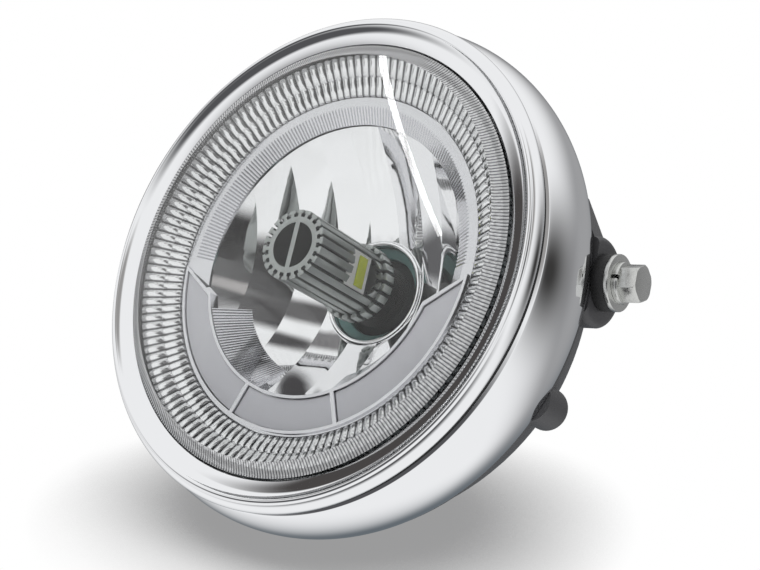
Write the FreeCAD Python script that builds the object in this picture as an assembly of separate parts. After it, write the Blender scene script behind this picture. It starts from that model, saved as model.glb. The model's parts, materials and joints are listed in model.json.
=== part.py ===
import FreeCAD, Part
import math
import os

# Motorcycle headlight of the seven inch class, in millimetres.
# Lamp coordinates: the optical axis is Y, y = 0 is the plane of the rim's front edge, the front is -Y
# and +Z is up. Round pieces are drawn as (radius, y) outlines. Every finished piece is then shifted
# so that the part's origin is the middle of the side-bolt axis.

# Side-bolt axis
BOLT_SETBACK = 45.0
BOLT_RISE = 8.0

# Chrome rim: flat lip, hollow slope up to a rounded crest, groove, bulging skirt
RIM_WALL = 1.4
RIM_LIP_R = 82.9
RIM_LIP_RISE = 0.9
RIM_LIP_BACK = 1.5
RIM_LIP_W = 3.7
RIM_SLOPE_RISE = 0.8
RIM_SLOPE_W = 2.9
RIM_SLOPE_SAG = 0.25
RIM_CREST_RISE = 3.4
RIM_CREST_W = 2.0
RIM_CREST_BULGE = 0.65
RIM_SHOULDER_DROP = 0.4
RIM_SHOULDER_W = 2.5
RIM_SHOULDER_BULGE = 0.4
RIM_EDGE_DROP = 0.8
RIM_GROOVE_DEPTH = 1.8
RIM_GROOVE_SLOPE = 0.8
RIM_GROOVE_WIDTH = 2.2
RIM_SKIRT_STEP = 1.6
RIM_SKIRT_BULGE = 4.0
RIM_SKIRT_CREST = 15.0
RIM_BACK_STEP = 1.2
RIM_DEPTH = 33.5

# Rim fixing: two lugs low on the sides, with a screw and a nut each
LUG_ANGLES = (-25.0, -155.0)
LUG_INSET = 2.4
LUG_R = 7.5
LUG_LENGTH = 15.0
LUG_ROUND = 2.5
LUG_SCREW_DEPTH = 9.0
SCREW_R = 2.0
SCREW_HEAD_R = 4.4
SCREW_HEAD_H = 3.0
SCREW_CLEARANCE = 0.6
SCREW_TAIL = 1.5
TAB_THICKNESS = 3.0
TAB_WIDTH = 11.0
TAB_REACH = 5.0
TAB_SETBACK = 3.0
NOTCH_CLEARANCE = 1.0
RIM_NUT_FLATS = 8.0
RIM_NUT_H = 3.2

# Lens
LENS_WALL = 2.4
LENS_RIM_GAP = 0.7
LENS_SHOULDER_RISE = 1.6
LENS_SHOULDER_W = 5.1
LENS_SHOULDER_H = 3.0
LENS_CROWN = 11.9
LENS_FLANGE_W = 5.8
LENS_FLANGE_H = 2.2
LENS_RIB_COUNT = 210
LENS_RIB_CUT = 0.45
LENS_RIB_W = 1.0
GASKET_H = 0.7
GASKET_SIDE_GAP = 0.1
SEALANT_H = 0.4
SEALANT_INSET = 1.2

# Fluted ring
FLUTE_COUNT = 140
FLUTE_SETBACK = 0.8
FLUTE_OUTER_Y = 1.0
FLUTE_W = 13.6
FLUTE_DEPTH = 7.0
FLUTE_BULGE = 1.0
RING_GAP = 0.25

# Mask: plain band, serrated band, crescent with three panels, ribbed cheeks
MASK_SETBACK = 0.2
MASK_H = 3.4
MASK_BAND_W = 4.15
SERRATION_SPAN = 5.3
SERRATION_DEPTH = 3.6
SERRATION_COUNT = 138
SERRATION_CUT = 0.45
SERRATION_W = 0.7
MASK_EDGE = 1.3
CRESCENT_STEP = 1.0
CRESCENT_INSET = 0.85
CRESCENT_W = 13.8
CRESCENT_TIP_ANGLE = 3.0
CRESCENT_CORNER_ANGLE = 16.0
CRESCENT_BORDER = 1.1
CRESCENT_DIVIDER_ANGLE = 22.0
CRESCENT_DIVIDER_W = 1.6
PANEL_SET_IN = 0.8
PANEL_H = 1.4
PANEL_CLEARANCE = 0.15
CHEEK_START_ANGLE = 23.0
CHEEK_END_ANGLE = 70.0
CHEEK_RUN = 9.5
CHEEK_DEPTH = 12.0
CHEEK_WALL = 1.6
CHEEK_RIB_COUNT = 32
CHEEK_RIB_CUT = 0.4
CHEEK_RIB_W = 0.6

# Reflector
REFLECTOR_WALL = 2.2
FOCAL_LENGTH = 23.0
BOWL_RIM_DROP = 0.24
BOWL_LIP = 1.9
FACET_STRIPS = 9
FACET_STEPS = 8
NECK_RING_W = 5.0
NECK_LENGTH = 3.6
SOCKET_R = 19.0
SOCKET_BEAD_R = 1.1

# Clips between the lens unit and the rim
CLIP_ANGLES = (45.0, 135.0, 225.0, 315.0)
CLIP_SWEEP = 7.0
CLIP_H = 0.8
CLIP_FOOT = 4.0
CLIP_GAP = 0.1

# Bulb collar and its wire clip
COLLAR_WALL = 3.0
COLLAR_FIT = 0.3
COLLAR_FLANGE_W = 4.6
COLLAR_FLANGE_H = 1.2
COLLAR_RISE = 3.3
WIRE_R = 0.75
WIRE_SIDE_GAP = 0.55
WIRE_TOE = 20.0
CLIP_SCREW_R = 1.3
CLIP_SCREW_HEAD_R = 2.4
CLIP_SCREW_HEAD_H = 1.6
CLIP_SCREW_LENGTH = 6.0

# LED bulb
BULB_LENS_GAP = 5.1
CROWN_H = 5.0
STEM_LENGTH = 13.0
FIN_COUNT = 22
FIN_ROOT_R = 10.6
FIN_STEM_H = 1.3
FIN_HEAD_H = 1.3
FIN_STEM_W = 1.4
FIN_HEAD_W = 2.6
CROWN_STEP = 1.7
SINK_WALL = 2.1
HOLLOW_DEPTH = 14.0
WEB_W = 2.0
SLOT_CORE = 19.0
SLOT_W = 15.5
SLOT_LENGTH = 17.5
SLOT_SETBACK = 0.6
WELL_CORE = 6.0
BOARD_H = 0.8
BOARD_LENGTH = 12.5
BOARD_INSET = 0.4
BOARD_MARGIN = 0.75
CHIP_H = 0.5
CHIP_LENGTH = 5.0
CHIP_MARGIN = 1.2
CHIP_SETBACK = 5.6
STEM_R = 8.6
BASE_H = 4.5
BASE_FIT = 0.3
TAIL_LENGTH = 34.5
TAIL_GROOVES = 16
TAIL_GROOVE_W = 2.0
TAIL_GROOVE_CUT = 1.2
TAIL_COLLAR = 13.0
TAIL_CAP = 4.0
BLADE_W = 6.3
BLADE_H = 0.8
BLADE_LENGTH = 8.0
BLADE_PITCH = 8.0

# Rubber boot
BOOT_WALL = 1.8
BOOT_FIT = 0.2
BOOT_GRIP = 4.0
BOOT_SLEEVE = 4.5
BOOT_CONE = 6.0
BOOT_LIP = 4.0

# Rear bucket
BUCKET_WALL = 2.5
BUCKET_RIM_GAP = 1.2
BUCKET_COLLAR_FRONT = 14.0
BUCKET_BEAD_INSET = 1.0
BUCKET_BEAD_W = 2.4
BUCKET_SEAT_GAP = 0.1
BUCKET_MID_IN = 13.1
BUCKET_MID_RUN = 30.0
BUCKET_TURN_IN = 42.6
BUCKET_BACK_RUN = 6.0
BUCKET_BACK_IN = 10.0
TAIL_ROOM = 3.5

# Side bosses with their fairings
BOSS_PROUD = 0.1
BOSS_R = 16.0
BOSS_ROUND = 2.5
BOSS_RIM_GAP = 1.2
BOSS_ROOT = 24.3
FAIRING_RISE = 32.0
FAIRING_RUN = 12.8
FAIRING_START = 11.0
FAIRING_BACK = 2.0
NUT_BOSS_R = 9.5
NUT_BOSS_LENGTH = 22.3

# Side bolts and what they carry
BOLT_R = 4.0
BOLT_FLATS = 12.0
BOLT_HEAD_H = 6.4
BOLT_CHAMFER = 0.7
BOLT_CLEARANCE = 0.3
SPACER_R = 10.0
SPACER_H = 4.8
WASHER_R = 10.0
WASHER_H = 1.8
SPRING_WASHER_R = 7.4
SPRING_WASHER_H = 2.2
SPRING_WASHER_SLIT = 1.2
NUT_FLATS = 13.0
NUT_H = 6.5
NUT_FIT = 0.1
THREAD_FIT = 0.05

# Cable grommet in the back
GROMMET_EDGE = 3.0
GROMMET_BORE_R = 8.0
GROMMET_WAIST_R = 11.0
GROMMET_LIP_R = 14.0
GROMMET_LIP_H = 2.5
GROMMET_FIT = 0.1

Vector = FreeCAD.Vector
ORIGIN = Vector(0, 0, 0)
X_AXIS = Vector(1, 0, 0)
Y_AXIS = Vector(0, 1, 0)
FRAME_SHIFT = Vector(0, -BOLT_SETBACK, -BOLT_RISE)

# Planes and radii that several pieces share, from the rim inwards
RIM_LIP_FRONT = -RIM_LIP_RISE
RIM_VALLEY = (RIM_LIP_R + RIM_LIP_W, RIM_LIP_FRONT - RIM_SLOPE_RISE)
RIM_SLOPE_END = (RIM_VALLEY[0] + RIM_SLOPE_W, -RIM_CREST_RISE)
RIM_CREST_END = (RIM_SLOPE_END[0] + RIM_CREST_W, RIM_SHOULDER_DROP - RIM_CREST_RISE)
RIM_EDGE_R = RIM_CREST_END[0] + RIM_SHOULDER_W
RIM_GROOVE_R = RIM_EDGE_R - RIM_GROOVE_DEPTH
RIM_GROOVE_FRONT = RIM_EDGE_DROP + RIM_GROOVE_SLOPE
RIM_GROOVE_BACK = RIM_GROOVE_FRONT + RIM_GROOVE_WIDTH
RIM_SKIRT_FRONT = RIM_GROOVE_BACK + RIM_GROOVE_SLOPE
RIM_BACK_R = RIM_EDGE_R + RIM_BACK_STEP
RIM_SKIRT = (
    (RIM_GROOVE_R + RIM_SKIRT_STEP, RIM_SKIRT_FRONT),
    (RIM_EDGE_R + RIM_SKIRT_BULGE, RIM_SKIRT_FRONT + RIM_SKIRT_CREST),
    (RIM_BACK_R, RIM_DEPTH),
)
LENS_R = RIM_LIP_R - LENS_RIM_GAP
LENS_INNER_R = LENS_R - LENS_WALL
LENS_SHOULDER_Y = -LENS_SHOULDER_RISE
LENS_CORNER_R = LENS_R - LENS_SHOULDER_W
LENS_CORNER_Y = LENS_SHOULDER_Y - LENS_SHOULDER_H
LENS_CROWN_Y = LENS_CORNER_Y - LENS_CROWN
LENS_FLANGE_R = LENS_R + LENS_FLANGE_W
LENS_FLANGE_FRONT = RIM_LIP_BACK + GASKET_H
LENS_FLANGE_BACK = LENS_FLANGE_FRONT + LENS_FLANGE_H
REFLECTOR_FRONT = LENS_FLANGE_BACK + SEALANT_H
REFLECTOR_FLANGE_BACK = REFLECTOR_FRONT + REFLECTOR_WALL
FLUTE_OUTER_R = LENS_INNER_R - FLUTE_SETBACK
FLUTE_INNER_R = FLUTE_OUTER_R - FLUTE_W
FLUTE_INNER_Y = FLUTE_OUTER_Y + FLUTE_DEPTH
MASK_R = FLUTE_INNER_R - RING_GAP
MASK_FRONT = FLUTE_INNER_Y + MASK_SETBACK
MASK_SEAT = MASK_FRONT + MASK_H
SERRATION_R = MASK_R - MASK_BAND_W
MASK_OPEN_R = SERRATION_R - SERRATION_SPAN
CRESCENT_FRONT = MASK_FRONT - CRESCENT_STEP
CRESCENT_OUTER_R = MASK_R - CRESCENT_INSET
CRESCENT_INNER_R = CRESCENT_OUTER_R - CRESCENT_W
PANEL_SEAT = CRESCENT_FRONT + PANEL_SET_IN + PANEL_H
CHEEK_INNER_R = CRESCENT_INNER_R - CHEEK_RUN
BOWL_EDGE_R = MASK_OPEN_R + BOWL_LIP
VERTEX_Y = MASK_SEAT + BOWL_RIM_DROP + BOWL_EDGE_R ** 2 / (4 * FOCAL_LENGTH)
NECK_BACK = VERTEX_Y + NECK_LENGTH
COLLAR_FLANGE_R = SOCKET_R + COLLAR_FLANGE_W
NECK_R = COLLAR_FLANGE_R + NECK_RING_W
COLLAR_R = SOCKET_R - COLLAR_FIT
COLLAR_BORE_R = COLLAR_R - COLLAR_WALL
COLLAR_FRONT = VERTEX_Y - COLLAR_RISE
COLLAR_SEAT = NECK_BACK - COLLAR_FLANGE_H
BASE_FRONT = NECK_BACK - BASE_H
CROWN_END = BASE_FRONT - STEM_LENGTH
SINK_END = CROWN_END - CROWN_H
SINK_TIP = LENS_CROWN_Y + LENS_WALL + BULB_LENS_GAP
SINK_BORE_R = FIN_ROOT_R - SINK_WALL
FIN_NECK_R = FIN_ROOT_R + FIN_STEM_H
FIN_TIP_R = FIN_NECK_R + FIN_HEAD_H
SLOT_END = SINK_END - SLOT_SETBACK
SLOT_FRONT = SLOT_END - SLOT_LENGTH
SLOT_FLOOR_X = SLOT_CORE / 2
WELL_FLOOR_X = WELL_CORE / 2
BOARD_W = SLOT_W - 2 * BOARD_MARGIN
CHIP_W = BOARD_W - 2 * CHIP_MARGIN
TAIL_R = COLLAR_BORE_R - BASE_FIT
TAIL_END = NECK_BACK + TAIL_LENGTH
BOOT_SHOULDER = NECK_BACK + BOOT_SLEEVE
BOOT_END = BOOT_SHOULDER + BOOT_CONE
BUCKET_SEAT = RIM_DEPTH + BUCKET_SEAT_GAP
BUCKET_COLLAR_R = RIM_BACK_R - RIM_WALL - BUCKET_RIM_GAP
BUCKET_BEAD_R = RIM_BACK_R - BUCKET_BEAD_INSET
BUCKET_INNER_BACK = TAIL_END + BLADE_LENGTH + TAIL_ROOM
BUCKET_BACK_Y = BUCKET_INNER_BACK + BUCKET_WALL
BUCKET_TURN_Y = BUCKET_BACK_Y - BUCKET_BACK_RUN
BUCKET_MID_Y = BUCKET_TURN_Y - BUCKET_MID_RUN
BUCKET_MID_R = BUCKET_COLLAR_R - BUCKET_MID_IN
BUCKET_TURN_R = BUCKET_COLLAR_R - BUCKET_TURN_IN
BUCKET_BACK_R = BUCKET_TURN_R - BUCKET_BACK_IN
LUG_AXIS_R = BUCKET_COLLAR_R - LUG_INSET
TAB_BACK = RIM_DEPTH - TAB_SETBACK
TAB_FRONT = TAB_BACK - TAB_THICKNESS
SCREW_SEAT = BUCKET_SEAT + LUG_SCREW_DEPTH
BOSS_FACE_X = BUCKET_BEAD_R + BOSS_PROUD
BOSS_ROOT_X = BOSS_FACE_X - BOSS_ROOT
NUT_BOSS_IN_X = BOSS_FACE_X - NUT_BOSS_LENGTH
GROMMET_DROP = BUCKET_BACK_R - GROMMET_LIP_R - GROMMET_EDGE


def flat(point):
    """Turn a (radius, y) point into a vector in the drawing plane."""
    return Vector(point[0], point[1], 0)


def polar(radius, angle, y):
    """A point at an angle from +X towards +Z about the optical axis."""
    turn = math.radians(angle)
    return Vector(radius * math.cos(turn), y, radius * math.sin(turn))


def outline(*points):
    """Close a wire through points; a pair of points is an arc through the first to the second."""
    edges = []
    here = points[0]
    for step in points[1:] + (points[0],):
        if isinstance(step[0], tuple):
            via, end = step
            edges.append(Part.Arc(flat(here), flat(via), flat(end)).toShape())
            here = end
        elif step != here:
            edges.append(Part.makeLine(flat(here), flat(step)))
            here = step
    return Part.Wire(edges)


def turned(*points, sweep=360.0):
    """Revolve an outline about the optical axis; a part turn is centred on +X."""
    solid = Part.Face(outline(*points)).revolve(ORIGIN, Y_AXIS, sweep)
    if sweep < 360.0:
        solid.rotate(ORIGIN, Y_AXIS, -sweep / 2)
    if solid.Volume < 0:
        solid.reverse()
    return solid


def around(shape, angle):
    """A copy of a shape drawn on +X, turned to an angle about the optical axis."""
    copy = shape.copy()
    copy.rotate(ORIGIN, Y_AXIS, -angle)
    return copy


def mirrored(shape):
    """The same shape on the other side of the lamp."""
    return shape.mirror(ORIGIN, X_AXIS)


def pair(shape):
    return Part.makeCompound([shape, mirrored(shape)])


def along_x(radius, start, end):
    """A cylinder on the right-hand side-bolt axis."""
    return Part.makeCylinder(radius, end - start, Vector(start, BOLT_SETBACK, BOLT_RISE), X_AXIS)


def along_y(radius, start, end, x=0.0, z=0.0):
    return Part.makeCylinder(radius, end - start, Vector(x, start, z), Y_AXIS)


def prism(points, direction):
    return Part.Face(Part.makePolygon(points + points[:1])).extrude(direction)


def hexagon_on_bolt(flats, start, height):
    corner = flats / math.sqrt(3)
    points = []
    for k in range(6):
        turn = math.radians(60 * k)
        y = BOLT_SETBACK + corner * math.sin(turn)
        z = BOLT_RISE + corner * math.cos(turn)
        points.append(Vector(start, y, z))
    return prism(points, Vector(height, 0, 0))


def circle_through(arc):
    return Part.Arc(*[flat(point) for point in arc]).toShape().Curve


def inner_arc(arc, wall):
    """The three points of an arc, moved towards its centre by a wall."""
    circle = circle_through(arc)
    centre = circle.Center
    moved = []
    for point in arc:
        inward = centre + (flat(point) - centre) * ((circle.Radius - wall) / circle.Radius)
        moved.append((inward.x, inward.y))
    return moved


def skirt_radius(y):
    """Outer radius of the rim's skirt at a depth."""
    circle = circle_through(RIM_SKIRT)
    centre = circle.Center
    return centre.x + math.sqrt(circle.Radius ** 2 - (y - centre.y) ** 2)


def bowed(start, end, bulge):
    """The middle of an arc from start to end that leaves its chord by bulge, forward if positive."""
    run = flat(end) - flat(start)
    middle = (flat(start) + flat(end)) * 0.5 + Vector(run.y, -run.x, 0) * (bulge / run.Length)
    return middle.x, middle.y


def chrome_rim():
    edge = (RIM_EDGE_R, 0.0)
    slope = bowed(RIM_VALLEY, RIM_SLOPE_END, -RIM_SLOPE_SAG)
    crest = bowed(RIM_SLOPE_END, RIM_CREST_END, RIM_CREST_BULGE)
    shoulder = bowed(RIM_CREST_END, edge, RIM_SHOULDER_BULGE)
    skirt_in = inner_arc(RIM_SKIRT, RIM_WALL)
    ridge_r = RIM_GROOVE_R - RIM_WALL
    rim = turned(
        (RIM_LIP_R, RIM_LIP_BACK),
        (RIM_LIP_R, RIM_LIP_FRONT),
        RIM_VALLEY,
        (slope, RIM_SLOPE_END),
        (crest, RIM_CREST_END),
        (shoulder, edge),
        (RIM_EDGE_R, RIM_EDGE_DROP),
        (RIM_GROOVE_R, RIM_GROOVE_FRONT),
        (RIM_GROOVE_R, RIM_GROOVE_BACK),
        RIM_SKIRT[0],
        (RIM_SKIRT[1], RIM_SKIRT[2]),
        skirt_in[2],
        (skirt_in[1], skirt_in[0]),
        (ridge_r, RIM_GROOVE_BACK),
        (ridge_r, RIM_GROOVE_FRONT),
        (RIM_CREST_END[0] - RIM_WALL, RIM_CREST_END[1] + RIM_WALL),
        (RIM_SLOPE_END[0], RIM_SLOPE_END[1] + RIM_WALL),
        (RIM_VALLEY[0], RIM_VALLEY[1] + RIM_WALL),
        (RIM_VALLEY[0], RIM_LIP_BACK),
    )
    # A tab inside the skirt takes each rim screw.
    tab_in = LUG_AXIS_R - TAB_REACH
    tab_out = skirt_radius(TAB_BACK) - RIM_WALL / 2
    tab = Part.makeBox(
        tab_out - tab_in, TAB_THICKNESS, TAB_WIDTH, Vector(tab_in, TAB_FRONT, -TAB_WIDTH / 2)
    )
    tab = tab.cut(along_y(SCREW_R + THREAD_FIT, TAB_FRONT, TAB_BACK, x=LUG_AXIS_R))
    return rim.fuse([around(tab, angle) for angle in LUG_ANGLES])


def lens_gasket():
    return turned(
        (LENS_R + GASKET_SIDE_GAP, RIM_LIP_BACK),
        (LENS_FLANGE_R, RIM_LIP_BACK),
        (LENS_FLANGE_R, LENS_FLANGE_FRONT),
        (LENS_R + GASKET_SIDE_GAP, LENS_FLANGE_FRONT),
    )


def dome_point(corner_r, corner_y, crown):
    """The point half way out on a dome that rises by crown in front of its corner."""
    radius = (corner_r ** 2 + crown ** 2) / (2 * crown)
    half = corner_r / 2
    return half, corner_y - crown + radius - math.sqrt(radius ** 2 - half ** 2)


def v_groove(start, end, cut, width):
    """A V-shaped cutter on +X along a line from start to end that bites to the line's back side."""
    run = flat(end) - flat(start)
    back = Vector(-run.y, run.x, 0)
    back.normalize()
    if back.y < 0:
        back = back * -1
    run_on = run * (width / run.Length)
    base = flat(start) - run_on - back * cut
    side = Vector(0, 0, width)
    points = [base - side, base + side, base + back * (2 * cut)]
    return prism(points, run + run_on * 2)


def lens():
    inner_corner = (LENS_CORNER_R - LENS_WALL / 2, LENS_CORNER_Y + LENS_WALL)
    body = turned(
        (0.0, LENS_CROWN_Y),
        (dome_point(LENS_CORNER_R, LENS_CORNER_Y, LENS_CROWN), (LENS_CORNER_R, LENS_CORNER_Y)),
        (LENS_R, LENS_SHOULDER_Y),
        (LENS_R, LENS_FLANGE_FRONT),
        (LENS_FLANGE_R, LENS_FLANGE_FRONT),
        (LENS_FLANGE_R, LENS_FLANGE_BACK),
        (LENS_INNER_R, LENS_FLANGE_BACK),
        (LENS_INNER_R, LENS_SHOULDER_Y + LENS_WALL / 2),
        inner_corner,
        (dome_point(inner_corner[0], inner_corner[1], LENS_CROWN), (0.0, LENS_CROWN_Y + LENS_WALL)),
    )
    groove = v_groove(
        (LENS_CORNER_R, LENS_CORNER_Y), (LENS_R, LENS_SHOULDER_Y), LENS_RIB_CUT, LENS_RIB_W
    )
    return body.cut([around(groove, 360.0 * k / LENS_RIB_COUNT) for k in range(LENS_RIB_COUNT)])


def lens_sealant():
    return turned(
        (LENS_INNER_R + SEALANT_INSET, LENS_FLANGE_BACK),
        (LENS_FLANGE_R - SEALANT_INSET, LENS_FLANGE_BACK),
        (LENS_FLANGE_R - SEALANT_INSET, REFLECTOR_FRONT),
        (LENS_INNER_R + SEALANT_INSET, REFLECTOR_FRONT),
    )


def scalloped_ring(radius, y, bulge):
    """A closed wire of arcs, one for each flute, that bulge forward from a circle."""
    step = 360.0 / FLUTE_COUNT
    edges = []
    for k in range(FLUTE_COUNT):
        start = polar(radius, k * step, y)
        middle = polar(radius, (k + 0.5) * step, y - bulge)
        end = polar(radius, (k + 1) * step, y)
        edges.append(Part.Arc(start, middle, end).toShape())
    return Part.Wire(edges)


def fluted_ring():
    outer_r = LENS_INNER_R - RING_GAP
    wires = [
        scalloped_ring(FLUTE_OUTER_R, FLUTE_OUTER_Y, FLUTE_BULGE),
        scalloped_ring(FLUTE_INNER_R, FLUTE_INNER_Y, FLUTE_BULGE),
        scalloped_ring(FLUTE_INNER_R, MASK_SEAT - RING_GAP, 0.0),
        scalloped_ring(outer_r, REFLECTOR_FRONT - RING_GAP, 0.0),
    ]
    ring = Part.makeLoft(wires, True, True, True)
    if ring.Volume < 0:
        ring.reverse()
    return ring


def crescent_face(inner_r, outer_r, inner_from, inner_to, outer_from, outer_to, y):
    """A face between two arcs below the axis, with its ends as straight lines."""
    def arc(radius, start, end):
        return Part.Arc(polar(radius, start, y), polar(radius, (start + end) / 2, y), polar(radius, end, y))
    outer = arc(outer_r, outer_from, outer_to).toShape()
    inner = arc(inner_r, inner_to, inner_from).toShape()
    first = Part.makeLine(polar(outer_r, outer_to, y), polar(inner_r, inner_to, y))
    last = Part.makeLine(polar(inner_r, inner_from, y), polar(outer_r, outer_from, y))
    return Part.Face(Part.Wire([outer, first, inner, last]))


def panel_face(side, margin, y):
    """Outline of one crescent panel: side is -1, 0 or 1, and margin shrinks it on every edge."""
    inner_r = CRESCENT_INNER_R + CRESCENT_BORDER + margin
    outer_r = CRESCENT_OUTER_R - CRESCENT_BORDER - margin
    half_divider = CRESCENT_DIVIDER_W / 2 + margin

    def spread(radius):
        return math.degrees(half_divider / radius)

    def edge(radius):
        return math.degrees((CRESCENT_BORDER + margin) / radius)

    if side == 0:
        inner = CRESCENT_DIVIDER_ANGLE - spread(inner_r)
        outer = CRESCENT_DIVIDER_ANGLE - spread(outer_r)
        return crescent_face(inner_r, outer_r, -90 - inner, -90 + inner, -90 - outer, -90 + outer, y)
    inner_near = -90 + CRESCENT_DIVIDER_ANGLE + spread(inner_r)
    outer_near = -90 + CRESCENT_DIVIDER_ANGLE + spread(outer_r)
    inner_far = -CRESCENT_CORNER_ANGLE - edge(inner_r)
    outer_far = -CRESCENT_TIP_ANGLE - 2 * edge(outer_r)
    face = crescent_face(inner_r, outer_r, inner_near, inner_far, outer_near, outer_far, y)
    return face if side > 0 else mirrored(face)


def front_mask():
    serration_back = MASK_FRONT + SERRATION_DEPTH
    band = turned(
        (MASK_R, MASK_FRONT),
        (SERRATION_R, MASK_FRONT),
        (MASK_OPEN_R, serration_back),
        (MASK_OPEN_R, serration_back + MASK_EDGE),
        (BOWL_EDGE_R - RING_GAP, MASK_SEAT),
        (MASK_R, MASK_SEAT),
    )
    plate_face = crescent_face(
        CRESCENT_INNER_R, CRESCENT_OUTER_R,
        CRESCENT_CORNER_ANGLE - 180, -CRESCENT_CORNER_ANGLE,
        CRESCENT_TIP_ANGLE - 180, -CRESCENT_TIP_ANGLE,
        CRESCENT_FRONT,
    )
    plate = plate_face.extrude(Vector(0, MASK_SEAT - CRESCENT_FRONT, 0))
    # The cheeks slope back and inwards from the crescent's inner edge.
    cheek_start = (CRESCENT_INNER_R, MASK_FRONT)
    cheek_end = (CHEEK_INNER_R, MASK_FRONT + CHEEK_DEPTH)
    cheek = turned(
        cheek_start,
        cheek_end,
        (CHEEK_INNER_R + CHEEK_WALL, MASK_FRONT + CHEEK_DEPTH),
        (CRESCENT_INNER_R + CHEEK_WALL, MASK_SEAT - CHEEK_WALL),
        (CRESCENT_INNER_R + CHEEK_WALL, MASK_FRONT),
        sweep=CHEEK_END_ANGLE - CHEEK_START_ANGLE,
    )
    right_cheek = around(cheek, -(CHEEK_START_ANGLE + CHEEK_END_ANGLE) / 2)
    mask = band.fuse([plate, right_cheek, mirrored(right_cheek)])

    pocket_depth = Vector(0, PANEL_SEAT - CRESCENT_FRONT, 0)
    cutters = [panel_face(side, 0.0, CRESCENT_FRONT).extrude(pocket_depth) for side in (-1, 0, 1)]
    serration = v_groove(
        (SERRATION_R, MASK_FRONT), (MASK_OPEN_R, serration_back), SERRATION_CUT, SERRATION_W
    )
    pitch = 180.0 / SERRATION_COUNT
    cutters += [around(serration, (k + 0.5) * pitch) for k in range(SERRATION_COUNT)]
    rib = v_groove(cheek_start, cheek_end, CHEEK_RIB_CUT, CHEEK_RIB_W)
    pitch = (CHEEK_END_ANGLE - CHEEK_START_ANGLE) / CHEEK_RIB_COUNT
    for k in range(CHEEK_RIB_COUNT):
        right_rib = around(rib, -CHEEK_START_ANGLE - (k + 0.5) * pitch)
        cutters += [right_rib, mirrored(right_rib)]
    return mask.cut(cutters)


def crescent_panel(side):
    face = panel_face(side, PANEL_CLEARANCE, PANEL_SEAT - PANEL_H)
    return face.extrude(Vector(0, PANEL_H, 0))


def bowl_y(radius):
    """Depth of the parabolic mirror at a radius."""
    return VERTEX_Y - radius ** 2 / (4 * FOCAL_LENGTH)


def behind_bowl(radius):
    """The point a wall's thickness behind the mirror."""
    slope = radius / (2 * FOCAL_LENGTH)
    length = math.hypot(slope, 1)
    return (
        radius + REFLECTOR_WALL * slope / length,
        bowl_y(radius) + REFLECTOR_WALL / length,
    )


def mirror_strip(x_start, x_end):
    """The space in front of one upright mirror strip, straight across between two parabolas."""
    reach = BOWL_EDGE_R + REFLECTOR_WALL
    points = []
    for k in range(FACET_STEPS + 1):
        z = -reach + 2 * reach * k / FACET_STEPS
        points.append(Vector(x_start, bowl_y(math.hypot(x_start, z)), z))
    curve = Part.BSplineCurve()
    curve.interpolate(points)
    front = -VERTEX_Y * 2
    corners = [points[-1], Vector(x_start, front, reach), Vector(x_start, front, -reach), points[0]]
    edges = [curve.toShape()]
    for start, end in zip(corners[:-1], corners[1:]):
        edges.append(Part.makeLine(start, end))
    shear = Vector(x_end - x_start, bowl_y(x_end) - bowl_y(x_start), 0)
    return Part.Face(Part.Wire(edges)).extrude(shear)


def reflector():
    rim_back = (BOWL_EDGE_R + REFLECTOR_WALL, MASK_SEAT + REFLECTOR_WALL)
    foot = behind_bowl(NECK_R)
    mask_seat_r = MASK_R + RING_GAP * 3
    blank = turned(
        (SOCKET_R, MASK_SEAT),
        (mask_seat_r, MASK_SEAT),
        (LENS_INNER_R - RING_GAP, REFLECTOR_FRONT),
        (LENS_FLANGE_R, REFLECTOR_FRONT),
        (LENS_FLANGE_R, REFLECTOR_FLANGE_BACK),
        (LENS_INNER_R + REFLECTOR_WALL, REFLECTOR_FLANGE_BACK),
        (mask_seat_r + REFLECTOR_WALL, MASK_SEAT + REFLECTOR_WALL),
        rim_back,
        (behind_bowl((BOWL_EDGE_R + NECK_R) / 2), foot),
        (NECK_R, foot[1]),
        (NECK_R, NECK_BACK),
        (COLLAR_FLANGE_R + COLLAR_FIT, NECK_BACK),
        (COLLAR_FLANGE_R + COLLAR_FIT, COLLAR_SEAT),
        (SOCKET_R, COLLAR_SEAT),
    )
    core = along_y(BOWL_EDGE_R, 0.0, VERTEX_Y)
    width = 2 * (BOWL_EDGE_R + REFLECTOR_WALL) / FACET_STRIPS
    spaces = []
    for k in range(FACET_STRIPS):
        x_start = (k - FACET_STRIPS / 2) * width
        spaces.append(mirror_strip(x_start, x_start + width).common(core))
    bowl = blank.cut(spaces)
    bead_r = SOCKET_R + SOCKET_BEAD_R
    bead_out_r = SOCKET_R + 2 * SOCKET_BEAD_R
    bead_y = bowl_y(bead_out_r)
    bead = turned(
        (SOCKET_R, COLLAR_FRONT),
        (SOCKET_R, bead_y),
        ((bead_r, bead_y - SOCKET_BEAD_R), (bead_out_r, bead_y)),
        (bead_out_r, COLLAR_FRONT),
    )
    screw_hole = along_y(
        CLIP_SCREW_R + THREAD_FIT, NECK_BACK - CLIP_SCREW_LENGTH, NECK_BACK, z=clip_screw_z()
    )
    return bowl.fuse(bead).cut(screw_hole)


def reflector_clips():
    skirt_in = inner_arc(RIM_SKIRT, RIM_WALL)
    toe = (skirt_in[0][0] - CLIP_GAP, skirt_in[0][1] + CLIP_GAP)
    seat = REFLECTOR_FLANGE_BACK
    clip = turned(
        (LENS_FLANGE_R - CLIP_FOOT, seat),
        (LENS_FLANGE_R + CLIP_H, seat),
        (toe[0] - CLIP_H, toe[1]),
        toe,
        (LENS_FLANGE_R + CLIP_H * 1.5, seat + CLIP_H),
        (LENS_FLANGE_R - CLIP_FOOT, seat + CLIP_H),
        sweep=CLIP_SWEEP,
    )
    return Part.makeCompound([around(clip, angle) for angle in CLIP_ANGLES])


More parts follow.
